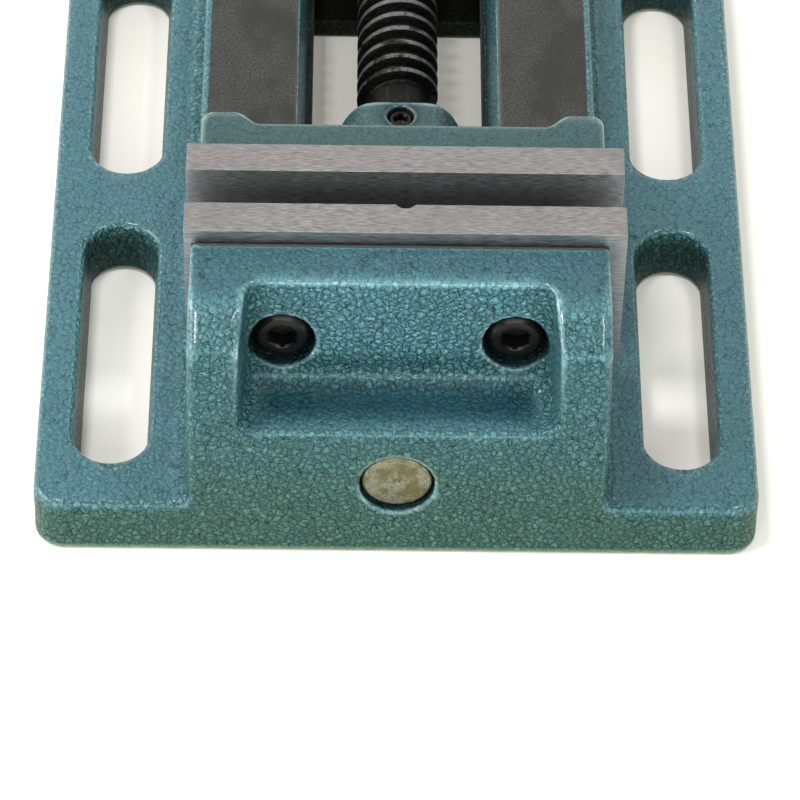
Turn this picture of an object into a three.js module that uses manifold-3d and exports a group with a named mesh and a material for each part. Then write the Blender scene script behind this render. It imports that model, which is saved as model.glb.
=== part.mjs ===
// Machine vise with a 100 mm jaw, screw driven, for a drill press table.
// Millimetres. X runs across the jaws, Y from the fixed jaw to the handle, Z up.
// The solids are laid out with y = 0 at the front foot of the base, and the finished
// group is moved so that its origin is the bottom centre of the whole vise.

import * as THREE from 'three';
import { mergeVertices } from 'three/addons/utils/BufferGeometryUtils.js';
import Module from 'manifold-3d';

const wasm = await Module();
wasm.setup();

// ---- Driving dimensions -------------------------------------------------------------------

const GAP = 0.3;                 // between touching pieces

// Base flange
const BASE_WIDTH = 167;
const BASE_LENGTH = 200;
const BASE_THICKNESS = 14;
const BASE_CORNER_R = 7;
const BASE_EDGE_R = 2;
const FRONT_DRAFT = 0.069;       // backward lean of the front face, per mm of height

// Slots in the flange, drafted so that they are narrower below
const SLOT_X = 66.2;
const SLOT_LENGTH = 76.5;
const SLOT_WIDTH_TOP = 17.8;
const SLOT_WIDTH_BOTTOM = 15.2;
const SLOT_END_MARGIN = 14.3;    // from the end of the base to the end of a slot

// Way block and channel
const WAY_HEIGHT = 30;
const WAY_HALF_WIDTH = 48;
const WAY_EDGE_CHAMFER = 1.9;
const BLOCK_END_Y = 206;
const CHANNEL_HALF_TOP = 24.3;
const CHANNEL_HALF_LEDGE = 22.2;
const CHANNEL_HALF_BOTTOM = 21;
const CHANNEL_LEDGE_Z = 16;
const CHANNEL_FLOOR_Z = 12;
const CHANNEL_START_Y = 39.5;
const CHANNEL_END_Y = 185.5;
const CAVITY_HALF_WIDTH = 34;
const CAVITY_START_Y = 45;
const WEB_START_Y = 173.5;
const WEB_THICKNESS = 5.5;

// Fixed jaw
const JAW_TOP_Z = 66.2;
const JAW_SIDE_DRAFT = 0.018;
const JAW_SHOULDER_Z = 61;
const JAW_SHOULDER_DEPTH = 12.5;
const JAW_BACK_Y = 34.1;
const POCKET_HALF_WIDTH = 34.3;
const POCKET_SIDE_DRAFT = 0.09;
const POCKET_FLOOR_Z = 37.2;
const POCKET_CURVE_R = 6.3;
const POCKET_WALL_FOOT_Y = 19.8;
const POCKET_WALL_TOP_Y = 22;

// Jaw plates
const PLATE_WIDTH = 100;
const PLATE_TOP_Z = 69.6;
const PLATE_OFFSET_X = 1.2;      // both plates sit a little to the right of the castings
const FIXED_PLATE_THICKNESS = 9.1;
const MOVABLE_PLATE_THICKNESS = 8.6;
const GROOVE_WIDTH = 4.8;
const GROOVE_FLOOR_WIDTH = 1.6;
const GROOVE_DEPTH = 1.2;
const REST_OPENING = 10.4;       // between the gripping faces as stored

// Plate screws, M8 socket cap
const PLATE_SCREW_X = 26.4;
const PLATE_SCREW_Z = 48.7;
const M8 = { shankR: 4, headR: 6.5, headHeight: 7.7, hexAcross: 6, hexDepth: 4 };
const COUNTERBORE_R = 7.5;
const CLEARANCE_R = 4.5;
const SEAT_WALL = 4.6;           // casting left under each screw head
const PLATE_THREAD_DEPTH = 6.2;

// Movable jaw
const MOVABLE_HALF_WIDTH = 46.6;
const MOVABLE_OFFSET_X = 0.6;    // the casting's outside sits a little off its bore
const MOVABLE_TOP_DEPTH = 10.6;
const EAR_DEPTH = 14;
const EAR_BACK_RUN = 3.5;        // from the ear's top edge to the shoulder behind it
const EAR_INNER_X = 38.3;
const EAR_CURVE_END_X = 33;
const EAR_CORNER_R = 3;
const SADDLE_LENGTH = 42.5;
const SADDLE_REAR_Z = 33;
const SADDLE_WALL_Z = 41;
const TONGUE_HALF_WIDTH = 20.6;
const TONGUE_LENGTH = 45;
const BOSS_R = 15.1;
const BOSS_FLAT_Z = 33.6;
const BOSS_LENGTH = 52;          // from the casting's front face to the boss's end
const SET_SCREW_FROM_BOSS_END = 5.2;
const SET_SCREW_R = 2.9;

// Keeper plate
const KEEPER_HALF_WIDTH = 30;
const KEEPER_LENGTH = 26;
const KEEPER_THICKNESS = 6.4;
const KEEPER_START = 3;          // behind the casting's front face
const KEEPER_SCREW_SPACING = 12;
const KEEPER_SCREW_LENGTH = 14;
const M6 = { shankR: 3, headR: 5.6, rim: 0.5, hexAcross: 4, hexDepth: 2.4 };

// Lead screw
const SCREW_Z = 21;
const THREAD_MAJOR_R = 10;
const THREAD_MINOR_R = 7.75;
const THREAD_PITCH = 5;
const THREAD_START_Y = 127;
const THREAD_END_Y = 214;
const JOURNAL_START_Y = 93;
const JOURNAL_R = 7.75;
const JOURNAL_GROOVE_R = 5.75;
const JOURNAL_GROOVE_WIDTH = 5;
const BORE_CLEARANCE = 0.35;
const NUT_R = 14.5;
const LUG_R = 19;
const LOCK_SCREW_R = 2.4;
const LOCK_SCREW_LENGTH = 3.2;

// Front bore and its plug
const FRONT_BORE_R = 8.53;
const PLUG_R = 8.1;
const PLUG_RECESS = 1.5;
const PLUG_THICKNESS = 12;

// Handle
const HUB_R = 13;
const HUB_START_Y = 217;
const HUB_LENGTH = 26;
const HUB_BORE_DEPTH = 9.5;
const HUB_PIN_R = 2;
const BAR_R = 4;
const BAR_Y = 233;
const BAR_HALF_LENGTH = 58;
const BAR_HOLE_R = 4.25;
const KNOB_R = 7;
const KNOB_LENGTH = 12;

// Values worked out from those above
const OVERALL_LENGTH = HUB_START_Y + HUB_LENGTH;
const FIXED_FACE_Y = JAW_BACK_Y + GAP + FIXED_PLATE_THICKNESS;
const MOVABLE_FACE_Y = FIXED_FACE_Y + REST_OPENING;
const MOVABLE_PLATE_BACK_Y = MOVABLE_FACE_Y + MOVABLE_PLATE_THICKNESS;
const MOVABLE_FRONT_Y = MOVABLE_PLATE_BACK_Y + GAP;
const BOSS_END_Y = MOVABLE_FRONT_Y + BOSS_LENGTH;
const SET_SCREW_Y = BOSS_END_Y - SET_SCREW_FROM_BOSS_END;
const PLATE_BOTTOM_Z = WAY_HEIGHT + GAP;
const KEEPER_START_Y = MOVABLE_FRONT_Y + KEEPER_START;
const KEEPER_END_Y = KEEPER_START_Y + KEEPER_LENGTH;
const KEEPER_MIDDLE_Y = KEEPER_START_Y + KEEPER_LENGTH / 2;
const KEEPER_SCREW_YS = [-0.5, 0.5].map((side) => KEEPER_MIDDLE_Y + side * KEEPER_SCREW_SPACING);
const KEEPER_BOTTOM_Z = CHANNEL_FLOOR_Z - GAP - KEEPER_THICKNESS;
const KEEPER_SCREW_TOP_Z = KEEPER_BOTTOM_Z + KEEPER_SCREW_LENGTH;
const LOCK_SCREW_Y = (CHANNEL_END_Y + BLOCK_END_Y) / 2;
const HUB_PIN_Y = HUB_START_Y + HUB_BORE_DEPTH / 2;

// ---- Shape helpers ------------------------------------------------------------------------

function toSolid(geometry) {
  const bare = new THREE.BufferGeometry();
  bare.setAttribute('position', geometry.getAttribute('position').clone());
  if (geometry.index) bare.setIndex(geometry.index.clone());
  const merged = mergeVertices(bare, 1e-4);
  return new wasm.Manifold(new wasm.Mesh({
    numProp: 3,
    vertProperties: new Float32Array(merged.getAttribute('position').array),
    triVerts: new Uint32Array(merged.index.array),
  }));
}

function toGeometry(solid) {
  const mesh = solid.getMesh();
  const geometry = new THREE.BufferGeometry();
  geometry.setAttribute('position', new THREE.BufferAttribute(new Float32Array(mesh.vertProperties), 3));
  geometry.setIndex(new THREE.BufferAttribute(new Uint32Array(mesh.triVerts), 1));
  geometry.computeVertexNormals();
  return geometry;
}

function join(...solids) {
  return solids.reduce((whole, piece) => whole.add(piece));
}

function cut(whole, ...tools) {
  return tools.reduce((left, tool) => left.subtract(tool), whole);
}

function box(x0, x1, y0, y1, z0, z1) {
  const geometry = new THREE.BoxGeometry(x1 - x0, y1 - y0, z1 - z0);
  geometry.translate((x0 + x1) / 2, (y0 + y1) / 2, (z0 + z1) / 2);
  return toSolid(geometry);
}

// Moves every vertex of a geometry by a function of its place.
function reshape(geometry, move) {
  const positions = geometry.getAttribute('position');
  const vertex = new THREE.Vector3();
  for (let i = 0; i < positions.count; i += 1) {
    vertex.fromBufferAttribute(positions, i);
    move(vertex);
    positions.setXYZ(i, vertex.x, vertex.y, vertex.z);
  }
  return geometry;
}

// Extrudes an outline drawn in the YZ plane across X.
function acrossX(outline, halfWidth) {
  const options = { depth: 2 * halfWidth, bevelEnabled: false, curveSegments: 8 };
  const geometry = new THREE.ExtrudeGeometry(outline, options);
  geometry.translate(0, 0, -halfWidth);
  geometry.rotateX(Math.PI / 2);
  geometry.rotateZ(Math.PI / 2);
  return geometry;
}

// Extrudes an outline drawn in the XY plane upward.
function upward(outline, z0, z1) {
  const options = { depth: z1 - z0, bevelEnabled: false, curveSegments: 8 };
  const geometry = new THREE.ExtrudeGeometry(outline, options);
  geometry.translate(0, 0, z0);
  return geometry;
}

// Extrudes an outline of [x, z] points along Y.
function alongY(points, y0, y1) {
  const geometry = new THREE.ExtrudeGeometry(polygon(points), { depth: y1 - y0, bevelEnabled: false });
  geometry.rotateX(Math.PI / 2);
  geometry.translate(0, y1, 0);
  return toSolid(geometry);
}

function polygon(points) {
  return new THREE.Shape(points.map(([a, b]) => new THREE.Vector2(a, b)));
}

function cylinderY(radius, y0, y1, x, z, segments = 36) {
  const geometry = new THREE.CylinderGeometry(radius, radius, y1 - y0, segments);
  geometry.translate(x, (y0 + y1) / 2, z);
  return toSolid(geometry);
}

function cylinderZ(radius, z0, z1, x, y, segments = 24) {
  const geometry = new THREE.CylinderGeometry(radius, radius, z1 - z0, segments);
  geometry.rotateX(Math.PI / 2);
  geometry.translate(x, y, (z0 + z1) / 2);
  return toSolid(geometry);
}

function cylinderX(radius, x0, x1, y, z, segments = 32) {
  const geometry = new THREE.CylinderGeometry(radius, radius, x1 - x0, segments);
  geometry.rotateZ(Math.PI / 2);
  geometry.translate((x0 + x1) / 2, y, z);
  return toSolid(geometry);
}

// Turns a profile of [radius, height] points about the Y axis.
function turned(profile, segments = 32) {
  return new THREE.LatheGeometry(profile.map(([r, y]) => new THREE.Vector2(r, y)), segments);
}

function hexPrismY(across, y0, y1) {
  const geometry = new THREE.CylinderGeometry(across / Math.sqrt(3), across / Math.sqrt(3), y1 - y0, 6);
  geometry.translate(0, (y0 + y1) / 2, 0);
  return toSolid(geometry);
}

function roundedRectangle(x0, x1, y0, y1, r) {
  const outline = new THREE.Shape();
  outline.moveTo(x0 + r, y0);
  outline.lineTo(x1 - r, y0);
  outline.absarc(x1 - r, y0 + r, r, -Math.PI / 2, 0);
  outline.lineTo(x1, y1 - r);
  outline.absarc(x1 - r, y1 - r, r, 0, Math.PI / 2);
  outline.lineTo(x0 + r, y1);
  outline.absarc(x0 + r, y1 - r, r, Math.PI / 2, Math.PI);
  outline.lineTo(x0, y0 + r);
  outline.absarc(x0 + r, y0 + r, r, Math.PI, 1.5 * Math.PI);
  return outline;
}

// ---- Base casting -------------------------------------------------------------------------

function flange() {
  const e = BASE_EDGE_R;
  const half = BASE_WIDTH / 2 - e;
  const outline = roundedRectangle(-half, half, e, BASE_LENGTH - e, BASE_CORNER_R - e);
  const geometry = new THREE.ExtrudeGeometry(outline, {
    depth: BASE_THICKNESS,
    bevelThickness: e,
    bevelSize: e,
    bevelSegments: 3,
    curveSegments: 6,
  });
  geometry.translate(0, 0, -e);
  reshape(geometry, (v) => {
    if (v.y < BASE_LENGTH / 2) v.y += FRONT_DRAFT * v.z;
  });
  const below = box(-BASE_WIDTH, BASE_WIDTH, -10, BASE_LENGTH + 10, -10, 0);
  return toSolid(geometry).subtract(below);
}

// A long hole with round ends whose wall leans in toward the bottom.
function slotCutter(x, y0) {
  const r = SLOT_WIDTH_TOP / 2;
  const half = SLOT_LENGTH / 2 - r;
  const outline = new THREE.Shape();
  outline.absarc(0, half, r, 0, Math.PI);
  outline.absarc(0, -half, r, Math.PI, 2 * Math.PI);
  const margin = 1;
  const narrowing = (SLOT_WIDTH_TOP - SLOT_WIDTH_BOTTOM) / 2 / BASE_THICKNESS;
  const geometry = reshape(upward(outline, -margin, BASE_THICKNESS + margin), (v) => {
    const spine = THREE.MathUtils.clamp(v.y, -half, half);
    const scale = (r - narrowing * (BASE_THICKNESS - v.z)) / r;
    v.x *= scale;
    v.y = spine + (v.y - spine) * scale;
  });
  geometry.translate(x, y0 + SLOT_LENGTH / 2, 0);
  return toSolid(geometry);
}

function slotCutters() {
  const nearY = SLOT_END_MARGIN;
  const farY = BASE_LENGTH - SLOT_END_MARGIN - SLOT_LENGTH;
  const cutters = [];
  for (const x of [-SLOT_X, SLOT_X]) {
    for (const y of [nearY, farY]) cutters.push(slotCutter(x, y));
  }
  return cutters;
}

function wayBlock() {
  const w = WAY_HALF_WIDTH;
  const c = WAY_EDGE_CHAMFER;
  const h = WAY_HEIGHT;
  return alongY([[-w, 0], [w, 0], [w, h - c], [w - c, h], [c - w, h], [-w, h - c]], 10, BLOCK_END_Y);
}

// The channel between the ways, with a narrow guiding lip at its foot.
function channelCutter() {
  const top = CHANNEL_HALF_TOP;
  const ledge = CHANNEL_HALF_LEDGE;
  const lip = CHANNEL_HALF_BOTTOM;
  const points = [
    [-lip, WEB_THICKNESS], [lip, WEB_THICKNESS], [lip, CHANNEL_LEDGE_Z], [ledge, CHANNEL_LEDGE_Z],
    [top, WAY_HEIGHT], [top, JAW_TOP_Z + 10], [-top, JAW_TOP_Z + 10], [-top, WAY_HEIGHT],
    [-ledge, CHANNEL_LEDGE_Z], [-lip, CHANNEL_LEDGE_Z],
  ];
  return alongY(points, CHANNEL_START_Y, CHANNEL_END_Y);
}

function cavityCutter() {
  return box(-CAVITY_HALF_WIDTH, CAVITY_HALF_WIDTH, CAVITY_START_Y, WEB_START_Y, -1, CHANNEL_FLOOR_Z);
}

function fixedJawBlock() {
  const shoulderY = FRONT_DRAFT * JAW_SHOULDER_Z;
  const outline = polygon([
    [0, 0],
    [JAW_BACK_Y, 0],
    [JAW_BACK_Y, JAW_TOP_Z],
    [shoulderY + JAW_SHOULDER_DEPTH, JAW_TOP_Z],
    [shoulderY, JAW_SHOULDER_Z],
  ]);
  const geometry = reshape(acrossX(outline, WAY_HALF_WIDTH), (v) => {
    const above = Math.max(v.z - WAY_HEIGHT, 0);
    v.x -= Math.sign(v.x) * JAW_SIDE_DRAFT * above;
  });
  return toSolid(geometry);
}

// The pocket in the front of the fixed jaw: floor, round corner and leaning back wall.
function pocketCutter() {
  const outline = new THREE.Shape();
  const r = POCKET_CURVE_R;
  const curveStartY = POCKET_WALL_FOOT_Y - r;
  const wallFootZ = POCKET_FLOOR_Z + r;
  const lean = (POCKET_WALL_TOP_Y - POCKET_WALL_FOOT_Y) / (JAW_TOP_Z - wallFootZ);
  const over = 5;
  outline.moveTo(-over, POCKET_FLOOR_Z);
  outline.lineTo(curveStartY, POCKET_FLOOR_Z);
  outline.absarc(curveStartY, wallFootZ, r, -Math.PI / 2, 0);
  outline.lineTo(POCKET_WALL_TOP_Y + lean * over, JAW_TOP_Z + over);
  outline.lineTo(-over, JAW_TOP_Z + over);
  const geometry = reshape(acrossX(outline, POCKET_HALF_WIDTH), (v) => {
    v.x += Math.sign(v.x) * POCKET_SIDE_DRAFT * (POCKET_WALL_TOP_Y - v.y);
  });
  return toSolid(geometry);
}

function rearLug() {
  return cylinderY(LUG_R, CHANNEL_END_Y, BLOCK_END_Y, 0, SCREW_Z, 48);
}

function baseCasting() {
  const whole = join(flange(), wayBlock(), fixedJawBlock(), rearLug());
  const screwHoles = [-PLATE_SCREW_X, PLATE_SCREW_X].flatMap((x) => [
    cylinderY(COUNTERBORE_R, 5, JAW_BACK_Y - SEAT_WALL, x, PLATE_SCREW_Z),
    cylinderY(CLEARANCE_R, 5, JAW_BACK_Y + 1, x, PLATE_SCREW_Z, 24),
  ]);
  return cut(
    whole,
    ...slotCutters(),
    channelCutter(),
    cavityCutter(),
    pocketCutter(),
    ...screwHoles,
    cylinderY(FRONT_BORE_R, -5, CHANNEL_START_Y + 1, 0, SCREW_Z, 40),
    cylinderY(NUT_R + GAP, CHANNEL_END_Y - 1, BLOCK_END_Y + 1, 0, SCREW_Z, 40),
    cylinderZ(LOCK_SCREW_R + GAP, SCREW_Z + NUT_R - 2, SCREW_Z + LUG_R + 2, 0, LOCK_SCREW_Y),
  );
}

// ---- Small hardware -----------------------------------------------------------------------

// Socket cap screw pointing along +Y, with the underside of its head at y = 0.
function capScrew(size, shankLength) {
  const chamfer = 0.6;
  const profile = [
    [0, -size.headHeight],
    [size.headR - chamfer, -size.headHeight],
    [size.headR, chamfer - size.headHeight],
    [size.headR, 0],
    [size.shankR, 0],
    [size.shankR, shankLength - chamfer],
    [size.shankR - chamfer, shankLength],
    [0, shankLength],
  ];
  const blank = toSolid(turned(profile, 24));
  return blank.subtract(hexPrismY(size.hexAcross, -size.headHeight - 1, size.hexDepth - size.headHeight));
}

function countersunkProfile(size, length) {
  return [
    [0, 0],
    [size.headR, 0],
    [size.headR, size.rim],
    [size.shankR, size.rim + size.headR - size.shankR],
    [size.shankR, length],
    [0, length],
  ];
}

// Countersunk socket screw pointing along +Y, with the flat of its head at y = 0.
function countersunkScrew(size, length) {
  const blank = toSolid(turned(countersunkProfile(size, length), 24));
  return blank.subtract(hexPrismY(size.hexAcross, -1, size.hexDepth));
}

// Headless set screw pointing along +Y, with a dog point at its end.
function setScrew(radius, length, dogRadius, dogLength, hexAcross) {
  const chamfer = 0.4;
  const profile = [
    [0, 0],
    [radius - chamfer, 0],
    [radius, chamfer],
    [radius, length],
    [dogRadius, length],
    [dogRadius, length + dogLength],
    [0, length + dogLength],
  ];
  return toSolid(turned(profile, 24)).subtract(hexPrismY(hexAcross, -1, length * 0.6));
}

// ---- Jaw plates ---------------------------------------------------------------------------

// A plate from y0 to y0 + thickness; holeSide is +1 with the screw holes in its far face.
function jawPlate(y0, thickness, holeSide) {
  const x0 = PLATE_OFFSET_X - PLATE_WIDTH / 2;
  const blank = box(x0, x0 + PLATE_WIDTH, y0, y0 + thickness, PLATE_BOTTOM_Z, PLATE_TOP_Z);
  const faceY = holeSide > 0 ? y0 + thickness : y0;
  const holes = [-PLATE_SCREW_X, PLATE_SCREW_X].map((x) => {
    const depth = PLATE_THREAD_DEPTH + GAP;
    const start = holeSide > 0 ? faceY - depth : faceY - 1;
    const end = holeSide > 0 ? faceY + 1 : faceY + depth;
    return cylinderY(M8.shankR + GAP, start, end, x, PLATE_SCREW_Z, 24);
  });
  return cut(blank, ...holes);
}

function fixedPlate() {
  const mouth = GROOVE_WIDTH / 2;
  const floor = GROOVE_FLOOR_WIDTH / 2;
  const over = 1;
  const mouthOver = mouth + ((mouth - floor) / GROOVE_DEPTH) * over;
  const groove = polygon([
    [PLATE_OFFSET_X - mouthOver, FIXED_FACE_Y + over],
    [PLATE_OFFSET_X - floor, FIXED_FACE_Y - GROOVE_DEPTH],
    [PLATE_OFFSET_X + floor, FIXED_FACE_Y - GROOVE_DEPTH],
    [PLATE_OFFSET_X + mouthOver, FIXED_FACE_Y + over],
  ]);
  const cutter = toSolid(upward(groove, WAY_HEIGHT - 5, PLATE_TOP_Z + 5));
  return jawPlate(FIXED_FACE_Y - FIXED_PLATE_THICKNESS, FIXED_PLATE_THICKNESS, -1).subtract(cutter);
}

// ---- Movable jaw --------------------------------------------------------------------------

function movableBody() {
  const y = MOVABLE_FRONT_Y;
  const z = PLATE_BOTTOM_Z;
  const outline = polygon([
    [y, z],
    [y + SADDLE_LENGTH, z],
    [y + SADDLE_LENGTH, SADDLE_REAR_Z],
    [y + EAR_DEPTH + EAR_BACK_RUN, JAW_SHOULDER_Z],
    [y + EAR_DEPTH, JAW_TOP_Z],
    [y, JAW_TOP_Z],
  ]);
  return toSolid(acrossX(outline, MOVABLE_HALF_WIDTH));
}

// Everything above the saddle between the two ears, which the S-shaped edges lead out to.
function movablePocketCutter() {
  const wallY = MOVABLE_FRONT_Y + MOVABLE_TOP_DEPTH;
  const earY = MOVABLE_FRONT_Y + EAR_DEPTH;
  const rearY = MOVABLE_FRONT_Y + SADDLE_LENGTH + 5;
  const middleX = (EAR_CURVE_END_X + EAR_INNER_X) / 2;
  const over = 5;
  const rise = (SADDLE_WALL_Z - SADDLE_REAR_Z) / (SADDLE_LENGTH - MOVABLE_TOP_DEPTH) * over;
  const plan = new THREE.Shape();
  plan.moveTo(-EAR_CURVE_END_X, wallY);
  plan.lineTo(EAR_CURVE_END_X, wallY);
  plan.bezierCurveTo(middleX, wallY, middleX, earY, EAR_INNER_X, earY);
  plan.lineTo(EAR_INNER_X, rearY);
  plan.lineTo(-EAR_INNER_X, rearY);
  plan.lineTo(-EAR_INNER_X, earY);
  plan.bezierCurveTo(-middleX, earY, -middleX, wallY, -EAR_CURVE_END_X, wallY);
  const side = polygon([
    [wallY - over, SADDLE_WALL_Z + rise],
    [rearY, SADDLE_REAR_Z - rise],
    [rearY, JAW_TOP_Z + over],
    [wallY - over, JAW_TOP_Z + over],
  ]);
  const below = toSolid(acrossX(side, MOVABLE_HALF_WIDTH));
  return toSolid(upward(plan, WAY_HEIGHT, JAW_TOP_Z + over)).intersect(below);
}

// The rounded upright corners behind the ears.
function earCornerCutter(side) {
  const r = EAR_CORNER_R;
  const x = side * (MOVABLE_HALF_WIDTH - r);
  const y = MOVABLE_FRONT_Y + EAR_DEPTH - r;
  const square = side > 0
    ? box(x, x + r + 1, y, y + r + 1, JAW_SHOULDER_Z + 0.5, JAW_TOP_Z + 5)
    : box(x - r - 1, x, y, y + r + 1, JAW_SHOULDER_Z + 0.5, JAW_TOP_Z + 5);
  return square.subtract(cylinderZ(r, WAY_HEIGHT, JAW_TOP_Z + 6, x, y, 32));
}

function boss() {
  const round = cylinderY(BOSS_R, MOVABLE_FRONT_Y + 2, BOSS_END_Y, 0, SCREW_Z, 48);
  const above = box(-BOSS_R, BOSS_R, MOVABLE_FRONT_Y, BOSS_END_Y + 1, BOSS_FLAT_Z, BOSS_FLAT_Z + 10);
  return round.subtract(above);
}

function movableCasting() {
  const y = MOVABLE_FRONT_Y;
  const tongueBottom = CHANNEL_FLOOR_Z + GAP;
  const tongueX = TONGUE_HALF_WIDTH;
  const tongue = box(-tongueX, tongueX, y + 0.5, y + TONGUE_LENGTH, tongueBottom, WAY_HEIGHT + 1);
  const keeperX = KEEPER_HALF_WIDTH;
  const keeperClearance = box(-keeperX, keeperX, y - 1, KEEPER_END_Y + GAP, -1, tongueBottom);
  const screwHoles = [-PLATE_SCREW_X, PLATE_SCREW_X].flatMap((x) => [
    cylinderY(COUNTERBORE_R, y + SEAT_WALL, y + SADDLE_LENGTH, x, PLATE_SCREW_Z),
    cylinderY(CLEARANCE_R, y - 1, y + SEAT_WALL + 1, x, PLATE_SCREW_Z, 24),
  ]);
  const keeperHoles = KEEPER_SCREW_YS.map((holeY) => (
    cylinderZ(M6.shankR + GAP, 0, KEEPER_SCREW_TOP_Z + GAP, 0, holeY)
  ));
  const jaw = cut(movableBody(), movablePocketCutter(), earCornerCutter(-1), earCornerCutter(1));
  const outside = join(jaw, boss()).translate([MOVABLE_OFFSET_X, 0, 0]);
  return cut(
    join(outside, tongue),
    keeperClearance,
    ...screwHoles,
    ...keeperHoles,
    cylinderY(JOURNAL_R + BORE_CLEARANCE, JOURNAL_START_Y - GAP, BOSS_END_Y + 1, 0, SCREW_Z, 40),
    cylinderZ(SET_SCREW_R + GAP, SCREW_Z, BOSS_FLAT_Z + 1, MOVABLE_OFFSET_X, SET_SCREW_Y),
  );
}

function keeperPlate() {
  const half = KEEPER_HALF_WIDTH;
  const top = KEEPER_BOTTOM_Z + KEEPER_THICKNESS;
  const plate = box(-half, half, KEEPER_START_Y, KEEPER_END_Y, KEEPER_BOTTOM_Z, top);
  const holeSize = { shankR: M6.shankR + GAP, headR: M6.headR + GAP, rim: M6.rim + 1 };
  const holes = KEEPER_SCREW_YS.map((y) => (
    toSolid(turned(countersunkProfile(holeSize, KEEPER_THICKNESS + 2), 24))
      .rotate([90, 0, 0])
      .translate([0, y, KEEPER_BOTTOM_Z - 1])
  ));
  return cut(plate, ...holes);
}

// ---- Lead screw ---------------------------------------------------------------------------

// A right-hand trapezoidal thread whose rows of vertices follow the helix.
function threadedRod(y0, y1) {
  const sides = 16;
  const profile = [THREAD_MAJOR_R, THREAD_MAJOR_R, THREAD_MINOR_R, THREAD_MINOR_R];
  const rowOffsets = [0, 0.3, 0.48, 0.82];   // crest, crest end, root, root end, in turns
  const turns = Math.ceil((y1 - y0) / THREAD_PITCH) + 2;
  const rows = turns * profile.length + 1;
  const vertices = [];
  const faces = [];
  const heightOf = (row, side) => {
    const turn = Math.floor(row / profile.length);
    return y0 - THREAD_PITCH * 1.5 + THREAD_PITCH * (turn + rowOffsets[row % profile.length] + side / sides);
  };
  for (let row = 0; row < rows; row += 1) {
    const radius = profile[row % profile.length];
    for (let side = 0; side < sides; side += 1) {
      const angle = (2 * Math.PI * side) / sides;
      vertices.push(radius * Math.sin(angle), heightOf(row, side), radius * Math.cos(angle));
    }
  }
  const at = (row, side) => {
    const wrapped = side < sides ? 0 : profile.length;
    return (row + wrapped) * sides + (side % sides);
  };
  const last = rows - 1 - profile.length;
  for (let row = 0; row < last; row += 1) {
    for (let side = 0; side < sides; side += 1) {
      const a = at(row, side);
      const b = at(row, side + 1);
      const c = at(row + 1, side + 1);
      const d = at(row + 1, side);
      faces.push(a, b, c, a, c, d);
    }
  }
  const rim = (row) => {
    const loop = [];
    for (let side = 0; side <= sides; side += 1) loop.push(at(row, side));
    for (let back = profile.length - 1; back > 0; back -= 1) loop.push(at(row + back, 0));
    return loop;
  };
  const capEnd = (loop, height, outward) => {
    const centre = vertices.length / 3;
    vertices.push(0, height, 0);
    loop.forEach((vertex, i) => {
      const next = loop[(i + 1) % loop.length];
      if (outward) faces.push(centre, vertex, next);
      else faces.push(centre, next, vertex);
    });
  };
  capEnd(rim(0), heightOf(0, 0), false);
  capEnd(rim(last), heightOf(last, sides), true);
  const geometry = new THREE.BufferGeometry();
  geometry.setAttribute('position', new THREE.Float32BufferAttribute(vertices, 3));
  geometry.setIndex(faces);
  const trimmed = toSolid(geometry).intersect(box(-20, 20, y0, y1, -20, 20));
  return trimmed.translate([0, 0, SCREW_Z]);
}

function leadScrew() {
  const grooveStart = SET_SCREW_Y - JOURNAL_GROOVE_WIDTH / 2;
  const journal = turned([
    [0, JOURNAL_START_Y],
    [JOURNAL_R - 0.8, JOURNAL_START_Y],
    [JOURNAL_R, JOURNAL_START_Y + 0.8],
    [JOURNAL_R, grooveStart],
    [JOURNAL_GROOVE_R, grooveStart],
    [JOURNAL_GROOVE_R, grooveStart + JOURNAL_GROOVE_WIDTH],
    [JOURNAL_R, grooveStart + JOURNAL_GROOVE_WIDTH],
    [JOURNAL_R, THREAD_START_Y + 1],
    [0, THREAD_START_Y + 1],
  ]);
  const shankEnd = HUB_START_Y + HUB_BORE_DEPTH - GAP;
  const rod = join(
    toSolid(journal).translate([0, 0, SCREW_Z]),
    threadedRod(THREAD_START_Y, THREAD_END_Y),
    cylinderY(JOURNAL_R, THREAD_END_Y - 1, shankEnd, 0, SCREW_Z, 32),
  );
  return rod.subtract(hubPinHole());
}

function hubPinHole() {
  return cylinderZ(HUB_PIN_R + GAP, SCREW_Z - HUB_R - 1, SCREW_Z + HUB_R + 1, 0, HUB_PIN_Y, 20);
}

function hubPin() {
  const reach = HUB_R - 0.5;
  return cylinderZ(HUB_PIN_R, SCREW_Z - reach, SCREW_Z + reach, 0, HUB_PIN_Y, 20);
}

function handleHub() {
  const chamfer = 1.2;
  const profile = [
    [0, HUB_START_Y],
    [HUB_R - chamfer, HUB_START_Y],
    [HUB_R, HUB_START_Y + chamfer],
    [HUB_R, HUB_START_Y + HUB_LENGTH - 3],
    [HUB_R - 3, HUB_START_Y + HUB_LENGTH],
    [0, HUB_START_Y + HUB_LENGTH],
  ];
  return cut(
    toSolid(turned(profile, 32)).translate([0, 0, SCREW_Z]),
    cylinderY(JOURNAL_R + GAP, HUB_START_Y - 1, HUB_START_Y + HUB_BORE_DEPTH, 0, SCREW_Z),
    cylinderX(BAR_HOLE_R, -HUB_R - 1, HUB_R + 1, BAR_Y, SCREW_Z),
    hubPinHole(),
  );
}

// ---- Tommy bar ----------------------------------------------------------------------------

function tommyBar() {
  const reach = BAR_HALF_LENGTH - KNOB_LENGTH / 2;
  return cylinderX(BAR_R, -reach, reach, BAR_Y, SCREW_Z, 28);
}

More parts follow.
